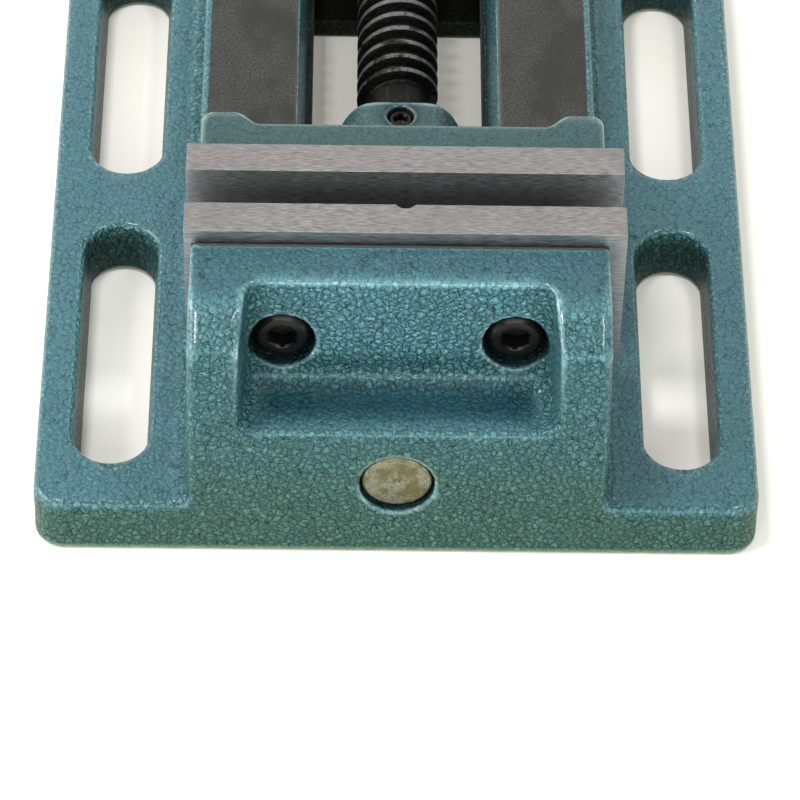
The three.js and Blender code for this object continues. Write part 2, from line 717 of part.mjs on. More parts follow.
// A round-ended knob with a blind hole for the end of the bar.
function barKnob(side) {
  const inner = 0;
  const dome = 4;
  const profile = [[0, inner], [KNOB_R - 1, inner], [KNOB_R, 1]];
  const steps = 5;
  for (let i = 0; i < steps; i += 1) {
    const angle = (Math.PI / 2) * (i / steps);
    profile.push([
      KNOB_R * 0.55 + KNOB_R * 0.45 * Math.cos(angle),
      KNOB_LENGTH - dome + dome * Math.sin(angle),
    ]);
  }
  profile.push([KNOB_R * 0.55, KNOB_LENGTH]);
  profile.push([0, KNOB_LENGTH]);
  const hole = new THREE.CylinderGeometry(BAR_R + GAP, BAR_R + GAP, KNOB_LENGTH, 24);
  hole.translate(0, GAP, 0);
  const knob = toSolid(turned(profile, 24)).subtract(toSolid(hole));
  return knob.rotate([0, 0, side > 0 ? -90 : 90])
    .translate([side * (BAR_HALF_LENGTH - KNOB_LENGTH), BAR_Y, SCREW_Z]);
}

// ---- Front bore plug and nut --------------------------------------------------------------

function frontPlug() {
  const faceY = FRONT_DRAFT * SCREW_Z + PLUG_RECESS;
  const chamfer = 0.5;
  const nubR = 0.9;
  const profile = [
    [0, faceY - 0.3],
    [nubR, faceY - 0.3],
    [nubR, faceY],
    [PLUG_R - chamfer, faceY],
    [PLUG_R, faceY + chamfer],
    [PLUG_R, faceY + PLUG_THICKNESS],
    [0, faceY + PLUG_THICKNESS],
  ];
  return toSolid(turned(profile, 40)).translate([0, 0, SCREW_Z]);
}

function leadScrewNut() {
  const boreR = THREAD_MAJOR_R + GAP;
  const body = cylinderY(NUT_R, CHANNEL_END_Y + GAP, BLOCK_END_Y, 0, SCREW_Z, 40);
  return body.subtract(cylinderY(boreR, CHANNEL_END_Y - 1, BLOCK_END_Y + 1, 0, SCREW_Z, 40));
}

// ---- Assembly -----------------------------------------------------------------------------

const PAINT = { color: 0x4c7f88, roughness: 0.35, metalness: 0.2 };
const GROUND_STEEL = { color: 0xa39c92, roughness: 0.4, metalness: 0.9 };
const BLACK_OXIDE = { color: 0x1c1c1e, roughness: 0.5, metalness: 0.6 };
const YELLOW_ZINC = { color: 0x9c925e, roughness: 0.4, metalness: 0.9 };
const BRIGHT_STEEL = { color: 0xb5b5b8, roughness: 0.3, metalness: 0.95 };
const BRASS = { color: 0xb08d4a, roughness: 0.4, metalness: 0.9 };

const vise = new THREE.Group();
vise.name = 'machine_vise';
vise.position.y = -OVERALL_LENGTH / 2;

const turnToRear = new THREE.Euler(0, 0, Math.PI);
const turnUpward = new THREE.Euler(Math.PI / 2, 0, 0);
const turnDownward = new THREE.Euler(-Math.PI / 2, 0, 0);

function place(name, solid, look, position = [0, 0, 0], rotation = new THREE.Euler()) {
  const mesh = new THREE.Mesh(toGeometry(solid), new THREE.MeshStandardMaterial(look));
  mesh.name = name;
  mesh.position.set(...position);
  mesh.rotation.copy(rotation);
  vise.add(mesh);
}

const fixedSeatY = JAW_BACK_Y - SEAT_WALL - GAP;
const movableSeatY = MOVABLE_FRONT_Y + SEAT_WALL + GAP;
const screwReach = SEAT_WALL + 2 * GAP + PLATE_THREAD_DEPTH;
const sides = { left: -1, right: 1 };

place('base_casting', baseCasting(), PAINT);
place('fixed_jaw_plate', fixedPlate(), GROUND_STEEL);
place('front_bore_plug', frontPlug(), YELLOW_ZINC);
place('leadscrew_nut', leadScrewNut(), BRASS);
place(
  'nut_lock_screw',
  setScrew(LOCK_SCREW_R, LOCK_SCREW_LENGTH - 0.8, LOCK_SCREW_R * 0.6, 0.8, 2.5),
  BLACK_OXIDE,
  [0, LOCK_SCREW_Y, SCREW_Z + NUT_R + GAP + LOCK_SCREW_LENGTH],
  turnDownward,
);

place('movable_jaw_casting', movableCasting(), PAINT);
place('movable_jaw_plate', jawPlate(MOVABLE_FACE_Y, MOVABLE_PLATE_THICKNESS, 1), GROUND_STEEL);
place('keeper_plate', keeperPlate(), BRIGHT_STEEL);
place(
  'boss_set_screw',
  setScrew(SET_SCREW_R, 3.2, 1.9, 2, 3),
  BLACK_OXIDE,
  [MOVABLE_OFFSET_X, SET_SCREW_Y, BOSS_FLAT_Z - 1],
  turnDownward,
);

for (const [side, sign] of Object.entries(sides)) {
  const x = sign * PLATE_SCREW_X;
  place(`fixed_plate_screw_${side}`, capScrew(M8, screwReach), BLACK_OXIDE, [x, fixedSeatY, PLATE_SCREW_Z]);
  place(
    `movable_plate_screw_${side}`,
    capScrew(M8, screwReach),
    BLACK_OXIDE,
    [x, movableSeatY, PLATE_SCREW_Z],
    turnToRear,
  );
  place(`bar_knob_${side}`, barKnob(sign), BLACK_OXIDE);
}

['front', 'rear'].forEach((end, i) => {
  place(
    `keeper_screw_${end}`,
    countersunkScrew(M6, KEEPER_SCREW_LENGTH),
    BLACK_OXIDE,
    [0, KEEPER_SCREW_YS[i], KEEPER_BOTTOM_Z],
    turnUpward,
  );
});

place('leadscrew', leadScrew(), BLACK_OXIDE);
place('handle_hub', handleHub(), BLACK_OXIDE);
place('hub_pin', hubPin(), BRIGHT_STEEL);
place('tommy_bar', tommyBar(), BRIGHT_STEEL);

export default vise;
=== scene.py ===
import math

import bmesh
import bpy
import numpy as np
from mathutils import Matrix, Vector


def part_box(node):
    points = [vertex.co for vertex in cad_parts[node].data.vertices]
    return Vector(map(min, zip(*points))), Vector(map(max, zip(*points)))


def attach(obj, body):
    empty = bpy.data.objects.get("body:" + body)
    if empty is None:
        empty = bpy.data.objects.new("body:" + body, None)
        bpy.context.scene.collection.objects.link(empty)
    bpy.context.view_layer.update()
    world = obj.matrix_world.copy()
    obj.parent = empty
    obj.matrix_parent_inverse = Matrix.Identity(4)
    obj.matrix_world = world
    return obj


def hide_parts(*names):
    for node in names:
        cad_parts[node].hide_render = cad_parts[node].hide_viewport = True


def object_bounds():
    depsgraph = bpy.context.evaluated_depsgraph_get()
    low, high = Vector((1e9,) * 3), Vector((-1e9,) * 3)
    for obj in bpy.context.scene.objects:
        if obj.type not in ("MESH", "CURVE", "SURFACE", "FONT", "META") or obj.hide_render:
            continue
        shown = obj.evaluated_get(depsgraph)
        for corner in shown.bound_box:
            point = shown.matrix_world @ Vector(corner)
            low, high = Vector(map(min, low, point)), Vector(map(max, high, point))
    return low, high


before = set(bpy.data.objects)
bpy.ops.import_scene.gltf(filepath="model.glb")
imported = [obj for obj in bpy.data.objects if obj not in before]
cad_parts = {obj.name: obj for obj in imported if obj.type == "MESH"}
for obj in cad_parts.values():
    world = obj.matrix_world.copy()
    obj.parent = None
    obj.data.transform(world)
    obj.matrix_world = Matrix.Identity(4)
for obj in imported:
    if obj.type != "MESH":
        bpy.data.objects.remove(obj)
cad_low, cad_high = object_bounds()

import openvdb
from mathutils import Matrix, Vector

MM = 0.001
FRONT_Y = cad_low.y              # front foot of the base, where the lengths below start
CORNER = np.array([0.0, FRONT_Y, 0.0])


# ---- Distance fields, in millimetres, for the cast and milled solids ----------------------

MARGIN = 1.5                     # empty space kept round a solid in its grid
CURVATURE_REACH = 1.4            # how far off the surface the curvature mask looks
ADAPTIVITY = 0.02                # how freely flat areas take larger faces
UNTOUCHED = -9.0                 # a "bare" value that stands for paint everywhere


class Grid:
    """Sample points over a solid, or over its half from x = 0 outward if it is mirrored."""

    def __init__(self, half_width, y_range, z_range, step, mirrored=True):
        self.step = step
        self.mirrored = mirrored
        first = 0.0 if mirrored else -half_width - MARGIN
        lows = (first, y_range[0] - MARGIN, z_range[0] - MARGIN)
        highs = (half_width + MARGIN, y_range[1] + MARGIN, z_range[1] + MARGIN)
        axes = [
            (low + step * np.arange(math.ceil((high - low) / step) + 1)).astype(np.float32)
            for low, high in zip(lows, highs)
        ]
        self.x = axes[0][:, None, None]
        self.y = axes[1][None, :, None]
        self.z = axes[2][None, None, :]
        self.shape = tuple(len(axis) for axis in axes)
        self.low = np.array([-axes[0][-1] if mirrored else first, lows[1], lows[2]])

    def whole(self, field):
        """The field over the full width."""
        full = np.broadcast_to(field, self.shape)
        if self.mirrored:
            full = np.concatenate([full[:0:-1], full])
        return full.astype(np.float32)


def union(a, b, r=0.0):
    """Both solids, with a fillet of radius r where they meet."""
    if r == 0:
        return np.minimum(a, b)
    u = np.maximum(r - a, 0)
    v = np.maximum(r - b, 0)
    return np.maximum(r, np.minimum(a, b)) - np.sqrt(u * u + v * v)


def common(a, b, r=0.0):
    """What is in both solids, with its edges rounded to radius r."""
    return -union(-a, -b, r)


def cut(a, b, r=0.0):
    """The first solid without the second, with the rim rounded to radius r."""
    return -union(-a, b, r)


def line_through(u, v, p, q):
    """Signed distance from the line from p to q, positive on its right."""
    du, dv = q[0] - p[0], q[1] - p[1]
    return ((u - p[0]) * dv - (v - p[1]) * du) / math.hypot(du, dv)


def smooth(t):
    t = np.clip(t, 0, 1)
    return t * t * (3 - 2 * t)


def sample(field, grid, points):
    """The field at each point, interpolated."""
    at = (points - grid.low) / grid.step
    limit = np.array(field.shape) - 2
    base = np.clip(np.floor(at).astype(int), 0, limit)
    f = np.clip(at - base, 0, 1)
    total = np.zeros(len(points))
    for dx in (0, 1):
        for dy in (0, 1):
            for dz in (0, 1):
                weight = (
                    (f[:, 0] if dx else 1 - f[:, 0])
                    * (f[:, 1] if dy else 1 - f[:, 1])
                    * (f[:, 2] if dz else 1 - f[:, 2])
                )
                total += weight * field[base[:, 0] + dx, base[:, 1] + dy, base[:, 2] + dz]
    return total


def spread(field, grid, points, reach):
    """The field a little way off each point, along each axis both ways."""
    rows = []
    for axis in range(3):
        for sign in (1, -1):
            offset = np.zeros(3)
            offset[axis] = sign * reach
            rows.append(sample(field, grid, points + offset))
    return rows


def carve(name, grid, field, masks_of=None, dust_and_shade=0.0):
    """A mesh on the field's surface, with normals and masks that its material reads."""
    whole = grid.whole(field)
    limit = 4 * grid.step
    volume = openvdb.FloatGrid(limit)
    volume.copyFromArray(np.ascontiguousarray(np.clip(whole, -limit, limit)))
    points, triangles, quads = volume.convertToPolygons(0.0, ADAPTIVITY)
    points = points.astype(float) * grid.step + grid.low
    faces = [tuple(t) for t in triangles.tolist()] + [tuple(q) for q in quads.tolist()]
    mesh = bpy.data.meshes.new(name)
    mesh.from_pydata((points * MM + CORNER).tolist(), [], faces)
    mesh.validate()
    near = spread(whole, grid, points, 0.6 * grid.step)
    normals = np.stack([near[0] - near[1], near[2] - near[3], near[4] - near[5]], axis=1)
    normals /= np.maximum(np.linalg.norm(normals, axis=1, keepdims=True), 1e-9)
    some = mesh.polygons[:200]
    outward = np.array([p.normal for p in some]) * normals[[p.vertices[0] for p in some]]
    if outward.sum() < 0:
        mesh.flip_normals()
    for polygon in mesh.polygons:
        polygon.use_smooth = True
    mesh.normals_split_custom_set_from_vertices(normals.tolist())
    up, z = normals[:, 2], points[:, 2]
    zero = np.zeros(len(points))
    bare, painted_shadow, shade = masks_of(points) if masks_of else (zero + UNTOUCHED, zero, zero)
    set_mask(mesh, "convex", np.mean(spread(whole, grid, points, CURVATURE_REACH), axis=0), -1, 1)
    set_mask(mesh, "level", up, -1, 1)
    # Painted warm bounce light on upright faces, stronger low down
    set_mask(mesh, "painted_bounce", 0.95 * smooth((0.3 - up) * 2) * smooth((52 - z) / 45))
    set_mask(mesh, "bare", bare, UNTOUCHED, -UNTOUCHED)
    set_mask(mesh, "painted_shadow", painted_shadow)
    set_mask(mesh, "dust_and_shade", zero + dust_and_shade)
    set_mask(mesh, "shade", shade, -1, 1)
    return link(name, mesh)


def set_mask(mesh, name, values, low=0, high=1):
    """Stores a number for each vertex, which the paint reads under the same name."""
    mask = mesh.attributes.new(name, "FLOAT", "POINT")
    mask.data.foreach_set("value", np.clip(values, low, high).astype(np.float32))


def link(name, mesh):
    piece = bpy.data.objects.new(name, mesh)
    bpy.context.scene.collection.objects.link(piece)
    return piece


def ripple(grid, shape, amount):
    """A slow unevenness, as of a sand mould."""
    x = (grid.low[0] + grid.step * np.arange(shape[0])).astype(np.float32)[:, None, None]
    waves = (
        np.sin(0.23 * x + 0.7) * np.sin(0.19 * grid.y) * np.sin(0.21 * grid.z + 0.4)
        + 0.6 * np.sin(0.47 * x) * np.sin(0.53 * grid.y + 1.1) * np.sin(0.41 * grid.z + 2.0)
    )
    return amount * waves


# ---- Castings -----------------------------------------------------------------------------

SCREW_Z = 21.0                   # height of the lead screw's axis
FLANGE_HALF, FLANGE_Z, FLANGE_END = 83.5, 14, 200
WAY_HALF, WAY_Z = 48, 30.0
REAR_Y = 206                     # back of the way block and of its lug
JAW_Z = 66.2
SLOT_X, SLOT_YS, SLOT_REACH = 66.2, (52.55, 147.45), 29.35
LOCK_SCREW_Y = 195.75
PLATE_SCREW_X, PLATE_SCREW_Z = 26.4, 48.7
COUNTERBORE_R, CLEARANCE_R = 7.5, 4.5
MOVABLE_X, MOVABLE_Y = 0.6, 62.8
SET_SCREW_Y = 46.8               # behind the movable jaw's front face


def off_slot_centre(y):
    """Distance along a slot from its middle, for whichever pair of slots is nearer."""
    return np.minimum(np.abs(y - SLOT_YS[0]), np.abs(y - SLOT_YS[1]))


def off_plate_screw(x, z):
    """Distance from the axis of a plate screw, with x taken outward from the middle."""
    return np.sqrt((x - PLATE_SCREW_X) ** 2 + (z - PLATE_SCREW_Z) ** 2)


def off_lead_screw(x, z):
    """Distance from the axis of the lead screw."""
    return np.sqrt(x * x + (z - SCREW_Z) ** 2)


def base_field(grid):
    x, y, z = grid.x, grid.y, grid.z
    front = (0.069 * z - y) * 0.998

    # Flange, with its rounded corners
    outline = common(common(x - FLANGE_HALF, front, 7), y - FLANGE_END, 7)
    flange = common(outline, z - FLANGE_Z, 2.0)

    # Ways and fixed jaw
    ways = common(common(x - WAY_HALF, z - WAY_Z, 1.9), y - REAR_Y, 1.5)
    ways = np.maximum(ways, 12 - y)
    side = x - WAY_HALF + 0.018 * np.maximum(z - WAY_Z, 0)
    facet = line_through(y, z, (16.7, JAW_Z), (4.2, 61))
    jaw = common(side, front, 2.2)
    jaw = common(jaw, facet, 2.0)
    jaw = common(jaw, z - JAW_Z, 1.7)
    jaw = common(jaw, y - 34.1, 0.4)
    upper = union(ways, jaw)
    lug = common(off_lead_screw(x, z) - 19, np.abs(y - LOCK_SCREW_Y) - 10.25, 1.2)
    upper = union(upper, lug, 1.5)
    body = np.maximum(union(upper, flange, 3.2), front)
    body = np.maximum(body, -z)
    body = np.maximum(body, y - REAR_Y)
    body = grid.whole(body)
    body = np.maximum(body + ripple(grid, body.shape, 0.05), grid.whole(-z + 0 * x + 0 * y))
    body = body[body.shape[0] // 2:]

    # Slots
    spine = np.maximum(off_slot_centre(y) - SLOT_REACH, 0)
    slot = np.sqrt((x - SLOT_X) ** 2 + spine * spine) - 8.9 + 0.093 * (FLANGE_Z - z)
    body = cut(body, slot, 1.4)

    # Pocket for the plate screws
    wall = line_through(y, z, (19.8, 43.5), (22.0, JAW_Z))
    pocket_side = x - 34.3 - 0.09 * (22 - y)
    pocket = common(common(37.2 - z, wall, 4.8), pocket_side, 3.2)
    upper_rim = smooth((z - 46) / 10)
    body = upper_rim * cut(body, pocket, 1.1) + (1 - upper_rim) * cut(body, pocket, 2.0)

    # Channel between the ways, and the hollow underneath
    half = np.where(z > 16, 22.2 + 0.15 * (z - 16), 21.0)
    channel = np.maximum(np.maximum(x - half, 5.5 - z), np.abs(y - 112.5) - 73)
    body = cut(body, channel, 0.35)
    hollow = common(common(x - 34, np.abs(y - 109.25) - 64.25, 4), z - 12, 2.5)
    body = cut(body, hollow, 0.8)

    # Bores
    rounds = off_plate_screw(x, z)
    body = cut(body, np.maximum(rounds - COUNTERBORE_R, y - 29.5), 0.5)
    body = cut(body, np.maximum(rounds - CLEARANCE_R, y - 36), 0.3)
    axis = off_lead_screw(x, z)
    body = cut(body, np.maximum(axis - 8.53, y - 40.5), 0.5)
    body = cut(body, np.maximum(axis - 14.8, 184.5 - y), 0.6)
    tapped = np.sqrt(x * x + (y - LOCK_SCREW_Y) ** 2) - 2.7
    return cut(body, np.maximum(tapped, 33.5 - z), 0.4)


def base_masks(points):
    """How far, in millimetres, each point lies inside the machined faces, and the painted shadow
    and the painted shade and light at each point.
    """
    x, y, z = np.abs(points[:, 0]), points[:, 1], points[:, 2]
    axis = off_lead_screw(x, z)
    along_slot = off_slot_centre(y)

    # Machined faces: way tops, lips under the ways, slot walls, plate seat, lug face, nut bore
    between = np.minimum(y - 33, 190 - y)
    tops = np.minimum(np.minimum(46.2 - x, (z - 29.8) * 6), between)
    lips = np.minimum(np.minimum(16.3 - z, 22.6 - x), np.minimum(z - 11.8, between))
    slots = np.minimum(np.minimum(4.6 - z, x - 69), np.minimum(29.5 - along_slot, 74.9 - x))
    seat = np.minimum(np.minimum((y - 33.9) * 6, 65 - z), np.minimum(36 - y, z - 29))
    lug_face = np.minimum((y - 205.8) * 6, 18.2 - axis)
    nut_bore = np.minimum(15.3 - axis, y - 185.7)
    bare = np.maximum.reduce([tops, lips, slots, seat, lug_face, nut_bore])

    # Painted shadow in the channel, near black at its rear end and darker lower down, and painted
    # shade in the bores
    in_channel = smooth((24.6 - x) / 0.6) * smooth((y - 39) / 2)
    in_channel *= smooth((185.7 - y) / 0.2) * smooth((29.6 - z) / 0.4)
    painted_shadow = in_channel * np.maximum(smooth((y - 172) / 2), 0.55 * smooth((28 - z) / 12))
    in_bores = np.minimum(off_plate_screw(x, z) - 7.9, axis - 8.9)
    painted_shadow = np.maximum(painted_shadow, 0.9 * smooth(-in_bores / 0.5) * smooth((y - 1.2) / 1.0))

    # Painted shade on the pocket's floor, the slot walls and the jaw's top; painted light on the
    # pocket's wall and the facets
    floor = smooth((33 - x) / 5) * smooth((39.5 - z) / 2.5)
    floor *= smooth((y - 5) / 4) * smooth((30 - y) / 2)
    slot_walls = smooth((x - 57) / 0.6) * smooth((13 - z) / 4) * smooth((83 - x) / 0.5)
    off_slot = np.hypot(x - SLOT_X, np.maximum(along_slot - SLOT_REACH, 0))
    slot_walls *= smooth((y - 10) / 2) * (off_slot < 10.5)
    wall = smooth((34 - x) / 5) * smooth((z - 42) / 4) * smooth((y - 17) / 2) * (y < 23.5)
    facet = smooth((z - 60.5) / 1) * smooth((65.8 - z) / 0.6) * smooth((x - 36) / 2) * (y < 17)
    top = smooth((z - 65.6) / 0.4)
    return bare, painted_shadow, 0.9 * floor + 0.8 * slot_walls - 0.5 * wall - 0.25 * facet + 0.4 * top


def movable_field(grid):
    x, y, z = np.abs(grid.x - MOVABLE_X), grid.y - MOVABLE_Y, grid.z
    steep = line_through(y, z, (17.5, 61), (14.0, JAW_Z))
    gentle = line_through(y, z, (42.5, 33), (17.5, 61))
    block = common(x - 46.6, union(steep, gentle), 3.0)
    block = common(block, y - 42.5, 2.0)
    block = common(block, z - JAW_Z, 1.5)
    block = np.maximum(block, np.maximum(-y, 30.3 - z))

    # Saddle between the ears, and the rounded boss behind it
    wall_y = 10.6 + 3.4 * smooth((x - 33.0) / 5.3)
    saddle_z = 42.4 - 0.256 * (y - 5.3)
    pocket = common((wall_y - y) * 0.9, x - 38.3, 2.5)
    pocket = common(pocket, (saddle_z - z) * 0.969, 4.0)
    block = cut(block, pocket, 1.4)
    boss = common(off_lead_screw(x, z) - 15.1, z - 33.6, 1.6)
    boss = np.maximum(common(boss, y - 52, 1.0), 2 - y)
    body = union(block, boss, 3.0)
    set_hole = np.sqrt(x * x + (y - SET_SCREW_Y) ** 2) - 3.2
    body = cut(body, np.maximum(set_hole, SCREW_Z - z), 0.4)

    # Tongue in the channel, and the bores, all in line with the base
    x = np.abs(grid.x)
    tongue = common(x - 20.6, y - 45, 1.0)
    tongue = np.maximum(np.maximum(tongue, 0.5 - y), z - 31)
    body = union(body, tongue)
    body = np.maximum(body, np.where(y > 45, -20, 12.3 - z))
    rounds = off_plate_screw(x, z)
    body = cut(body, np.maximum(rounds - COUNTERBORE_R, 4.6 - y), 0.5)
    body = cut(body, rounds - CLEARANCE_R, 0.3)
    body = cut(body, np.maximum(off_lead_screw(x, z) - 8.1, 29.9 - y), 0.5)
    keeper = np.sqrt(x * x + np.minimum(np.abs(y - 10), np.abs(y - 22)) ** 2) - 3.3
    return cut(body, np.maximum(keeper, z - 19.6), 0.3)


def movable_masks(points):
    x, y, z = points[:, 0], points[:, 1] - MOVABLE_Y, points[:, 2]
    hidden = np.maximum((0.2 - y) * 6, (30.45 - z) * 6)
    set_hole = 3.35 - np.hypot(x - MOVABLE_X, y - SET_SCREW_Y)
    bare = np.maximum(np.where(np.abs(x) > 16, hidden, UNTOUCHED), set_hole)
    # Painted shadow under the jaw below z = 28, and painted shade round the set screw hole
    around_hole = smooth((set_hole + 2.2) / 1.2) * (z > 28)
    return bare, 0.8 * smooth((28 - z) / 8), 0.9 * around_hole


def hub_field(grid, start, end, bar_y, pin_y):
    """The handle's hub, with its bores for the screw, the bar and the pin."""
    x, y, z = grid.x, grid.y, grid.z
    axis = off_lead_screw(x, z)
    hub = common(common(axis - 13, start - y, 1.2), y - end, 3.0)
    hub = cut(hub, np.maximum(axis - 8.05, y - start - 9.5), 0.5)
    hub = cut(hub, np.sqrt((y - bar_y) ** 2 + (z - SCREW_Z) ** 2) - 4.25, 0.6)
    return cut(hub, np.sqrt(x * x + (y - pin_y) ** 2) - 2.15, 0.2)


# ---- Turned pieces ------------------------------------------------------------------------

AXES = {
    "+x": ((0, 1, 0), (0, 0, 1), (1, 0, 0)),
    "-x": ((0, 0, 1), (0, 1, 0), (-1, 0, 0)),
    "+y": ((0, 0, 1), (1, 0, 0), (0, 1, 0)),
    "-y": ((1, 0, 0), (0, 0, 1), (0, -1, 0)),
    "+z": ((1, 0, 0), (0, 1, 0), (0, 0, 1)),
    "-z": ((0, 1, 0), (1, 0, 0), (0, 0, -1)),
}


def soften(points, radius, steps=3):
    """An outline with its inner corners rounded."""
    points = [np.array(p, float) for p in points]
    result = [points[0]]
    for before, corner, after in zip(points, points[1:], points[2:]):
        a, b = before - corner, after - corner
        la, lb = np.linalg.norm(a), np.linalg.norm(b)
        reach = min(radius, 0.45 * la, 0.45 * lb)
        start, end = corner + a / la * reach, corner + b / lb * reach
        for i in range(steps + 1):
            t = i / steps
            result.append((1 - t) ** 2 * start + 2 * t * (1 - t) * corner + t * t * end)
    return result + [points[-1]]


def lathe(name, rows, axis, origin, sides=96):
    """Turns rows of (radius, height) about an axis. A radius may be one per side."""
    right, up, along = (np.array(v, float) for v in AXES[axis])
    angles = 2 * np.pi * np.arange(sides) / sides
    vertices, rings = [], []
    for radius, height in rows:
        if np.ndim(radius) == 0 and abs(radius) < 1e-9:
            rings.append([len(vertices)])
            vertices.append(along * height)
            continue
        rings.append(list(range(len(vertices), len(vertices) + sides)))
        for angle, r in zip(angles, np.broadcast_to(radius, sides)):
            vertices.append(r * (right * np.cos(angle) + up * np.sin(angle)) + along * height)
    faces = []
    for lower, higher in zip(rings, rings[1:]):
        for i in range(sides):
            j = (i + 1) % sides
            if len(lower) == 1:
                faces.append((lower[0], higher[j], higher[i]))
            elif len(higher) == 1:
                faces.append((lower[i], lower[j], higher[0]))
            else:
                faces.append((lower[i], lower[j], higher[j], higher[i]))
    return solid(name, np.array(vertices) * MM + np.array(origin), faces)


def solid(name, vertices, faces, sharp=28):
    """A closed mesh, smooth but for its sharp edges."""
    mesh = bpy.data.meshes.new(name)
    mesh.from_pydata(vertices.tolist(), [], faces)
    work = bmesh.new()
    work.from_mesh(mesh)
    bmesh.ops.remove_doubles(work, verts=work.verts, dist=1e-6)
    bmesh.ops.recalc_face_normals(work, faces=work.faces)
    work.to_mesh(mesh)
    work.free()
    for polygon in mesh.polygons:
        polygon.use_smooth = True
    mesh.set_sharp_from_angle(angle=math.radians(sharp))
    return link(name, mesh)


def hexagon(across, sides=96):
    angle = np.degrees(2 * np.pi * np.arange(sides) / sides) % 60 - 30
    return across / 2 / np.cos(np.radians(angle))


def socket_rows(across, floor, face):
    """Rows for a hexagonal socket from its floor up to a face nearer the viewer."""
    hexed = hexagon(across)
    rim = across / math.sqrt(3) + 0.12
    toward = 1 if face > floor else -1
    return [
        (0.0, floor - 0.5 * toward),
        (hexed * 0.5, floor - 0.25 * toward),
        (hexed * 0.985, floor),
        (hexed, floor + 0.1 * toward),
        (hexed, face - 0.45 * toward),
        (np.maximum(hexed, rim * 0.97), face - 0.12 * toward),
        (np.full(len(hexed), rim + 0.05), face),
    ]


def cap_screw(name, axis, origin, length):
    """Socket cap screw with the underside of its head at the origin."""
    turns = np.arange(96)
    knurl = 6.42 + 0.08 * np.where(turns % 2, 1, -1)
    rows = socket_rows(6.0, -3.7, -7.7)
    rows += [(5.2, -7.7), (5.36, -7.66), (5.5, -7.56), (6.25, -6.95)]
    rows += [(knurl, -6.7), (knurl, -1.2), (6.4, -1.0), (6.35, -0.25), (6.1, 0.0)]
    rows += [(4.4, 0.0), (4.08, 0.12), (3.98, 0.4), (3.98, length - 0.7), (3.4, length)]
    rows += [(0.0, length)]
    return lathe(name, rows, axis, origin)


def countersunk_screw(name, axis, origin, length):
    rows = socket_rows(4.0, 2.4, 0.0)
    rows += soften([(5.1, 0.0), (5.6, 0.0), (5.6, 0.5), (3.0, 3.1), (3.0, length - 0.5),
                    (2.5, length)], 0.12)
    rows += [(0.0, length)]
    return lathe(name, rows, axis, origin)


def set_screw(name, axis, origin, radius, length, dog_radius, dog, across):
    rows = socket_rows(across, length * 0.6, 0.0)
    rows += soften([(radius - 0.6, 0.0), (radius - 0.35, 0.0), (radius, 0.4), (radius, length),
                    (dog_radius, length), (dog_radius, length + dog)], 0.1)
    rows += [(0.0, length + dog)]
    return lathe(name, rows, axis, origin)


THREAD_PHASE = 118.0             # where a turn of the thread begins, which sets where crests lie


def lead_screw(name, axis_point, start, end, tail_end):
    """Journal, right-hand trapezoidal thread and plain tail in one closed mesh."""
    sides, pitch = 96, 5.0
    major, minor = 10.0, 7.75
    profile = [  # share of a turn, radius
        (0.00, major - 0.10), (0.02, major), (0.15, major), (0.28, major), (0.30, major - 0.10),
        (0.36, 9.15), (0.43, 8.25), (0.47, minor + 0.08), (0.50, minor), (0.65, minor),
        (0.80, minor), (0.83, minor + 0.08), (0.87, 8.25), (0.94, 9.15),
    ]
    per_turn = len(profile)
    turns = math.ceil((end - start) / pitch) + 3
    rows = turns * per_turn + 1
    vertices = []

    def ring(radius, height):
        for side in range(sides):
            angle = 2 * math.pi * side / sides
            vertices.append((radius * math.sin(angle), height, radius * math.cos(angle)))

    for row in range(rows):
        share, radius = profile[row % per_turn]
        for side in range(sides):
            angle = 2 * math.pi * side / sides
            height = THREAD_PHASE + pitch * (row // per_turn + share + side / sides)
            height = min(max(height, start), end)
            fade = smooth(min((height - start) / 2.2, (end - height) / 2.2))
            r = minor + (radius - minor) * float(fade)
            vertices.append((r * math.sin(angle), height, r * math.cos(angle)))
    faces = []
    for row in range(rows - 1 - per_turn):
        for side in range(sides):
            over = 0 if side + 1 < sides else per_turn
            a, b = row * sides + side, (row + over) * sides + (side + 1) % sides
            faces.append((a, b, b + sides, a + sides))
    plain = [
        [(0, 93.0), (6.6, 93.0), (7.0, 93.1), (7.65, 93.7), (7.75, 94.0), (7.75, 107.0),
         (7.6, 107.1), (5.8, 107.1), (5.75, 107.3), (5.75, 111.9), (5.8, 112.1), (7.6, 112.1),
         (7.75, 112.25), (7.75, start)],
        [(7.75, end), (7.75, tail_end - 0.6), (7.1, tail_end), (0, tail_end)],
    ]
    for part in plain:
        previous = None
        for radius, height in part:
            first = len(vertices)
            if radius == 0:
                vertices.append((0, height, 0))
            else:
                ring(radius, height)
            if previous is not None:
                before, before_radius = previous
                for side in range(sides):
                    following = (side + 1) % sides
                    if before_radius == 0:
                        faces.append((before, first + side, first + following))
                    elif radius == 0:
                        faces.append((before + side, first, before + following))
                    else:
                        faces.append((before + side, first + side,
                                      first + following, before + following))
            previous = (first, radius)
    return solid(name, np.array(vertices) * MM + np.array(axis_point), faces, sharp=40)


# ---- Milled pieces ------------------------------------------------------------------------

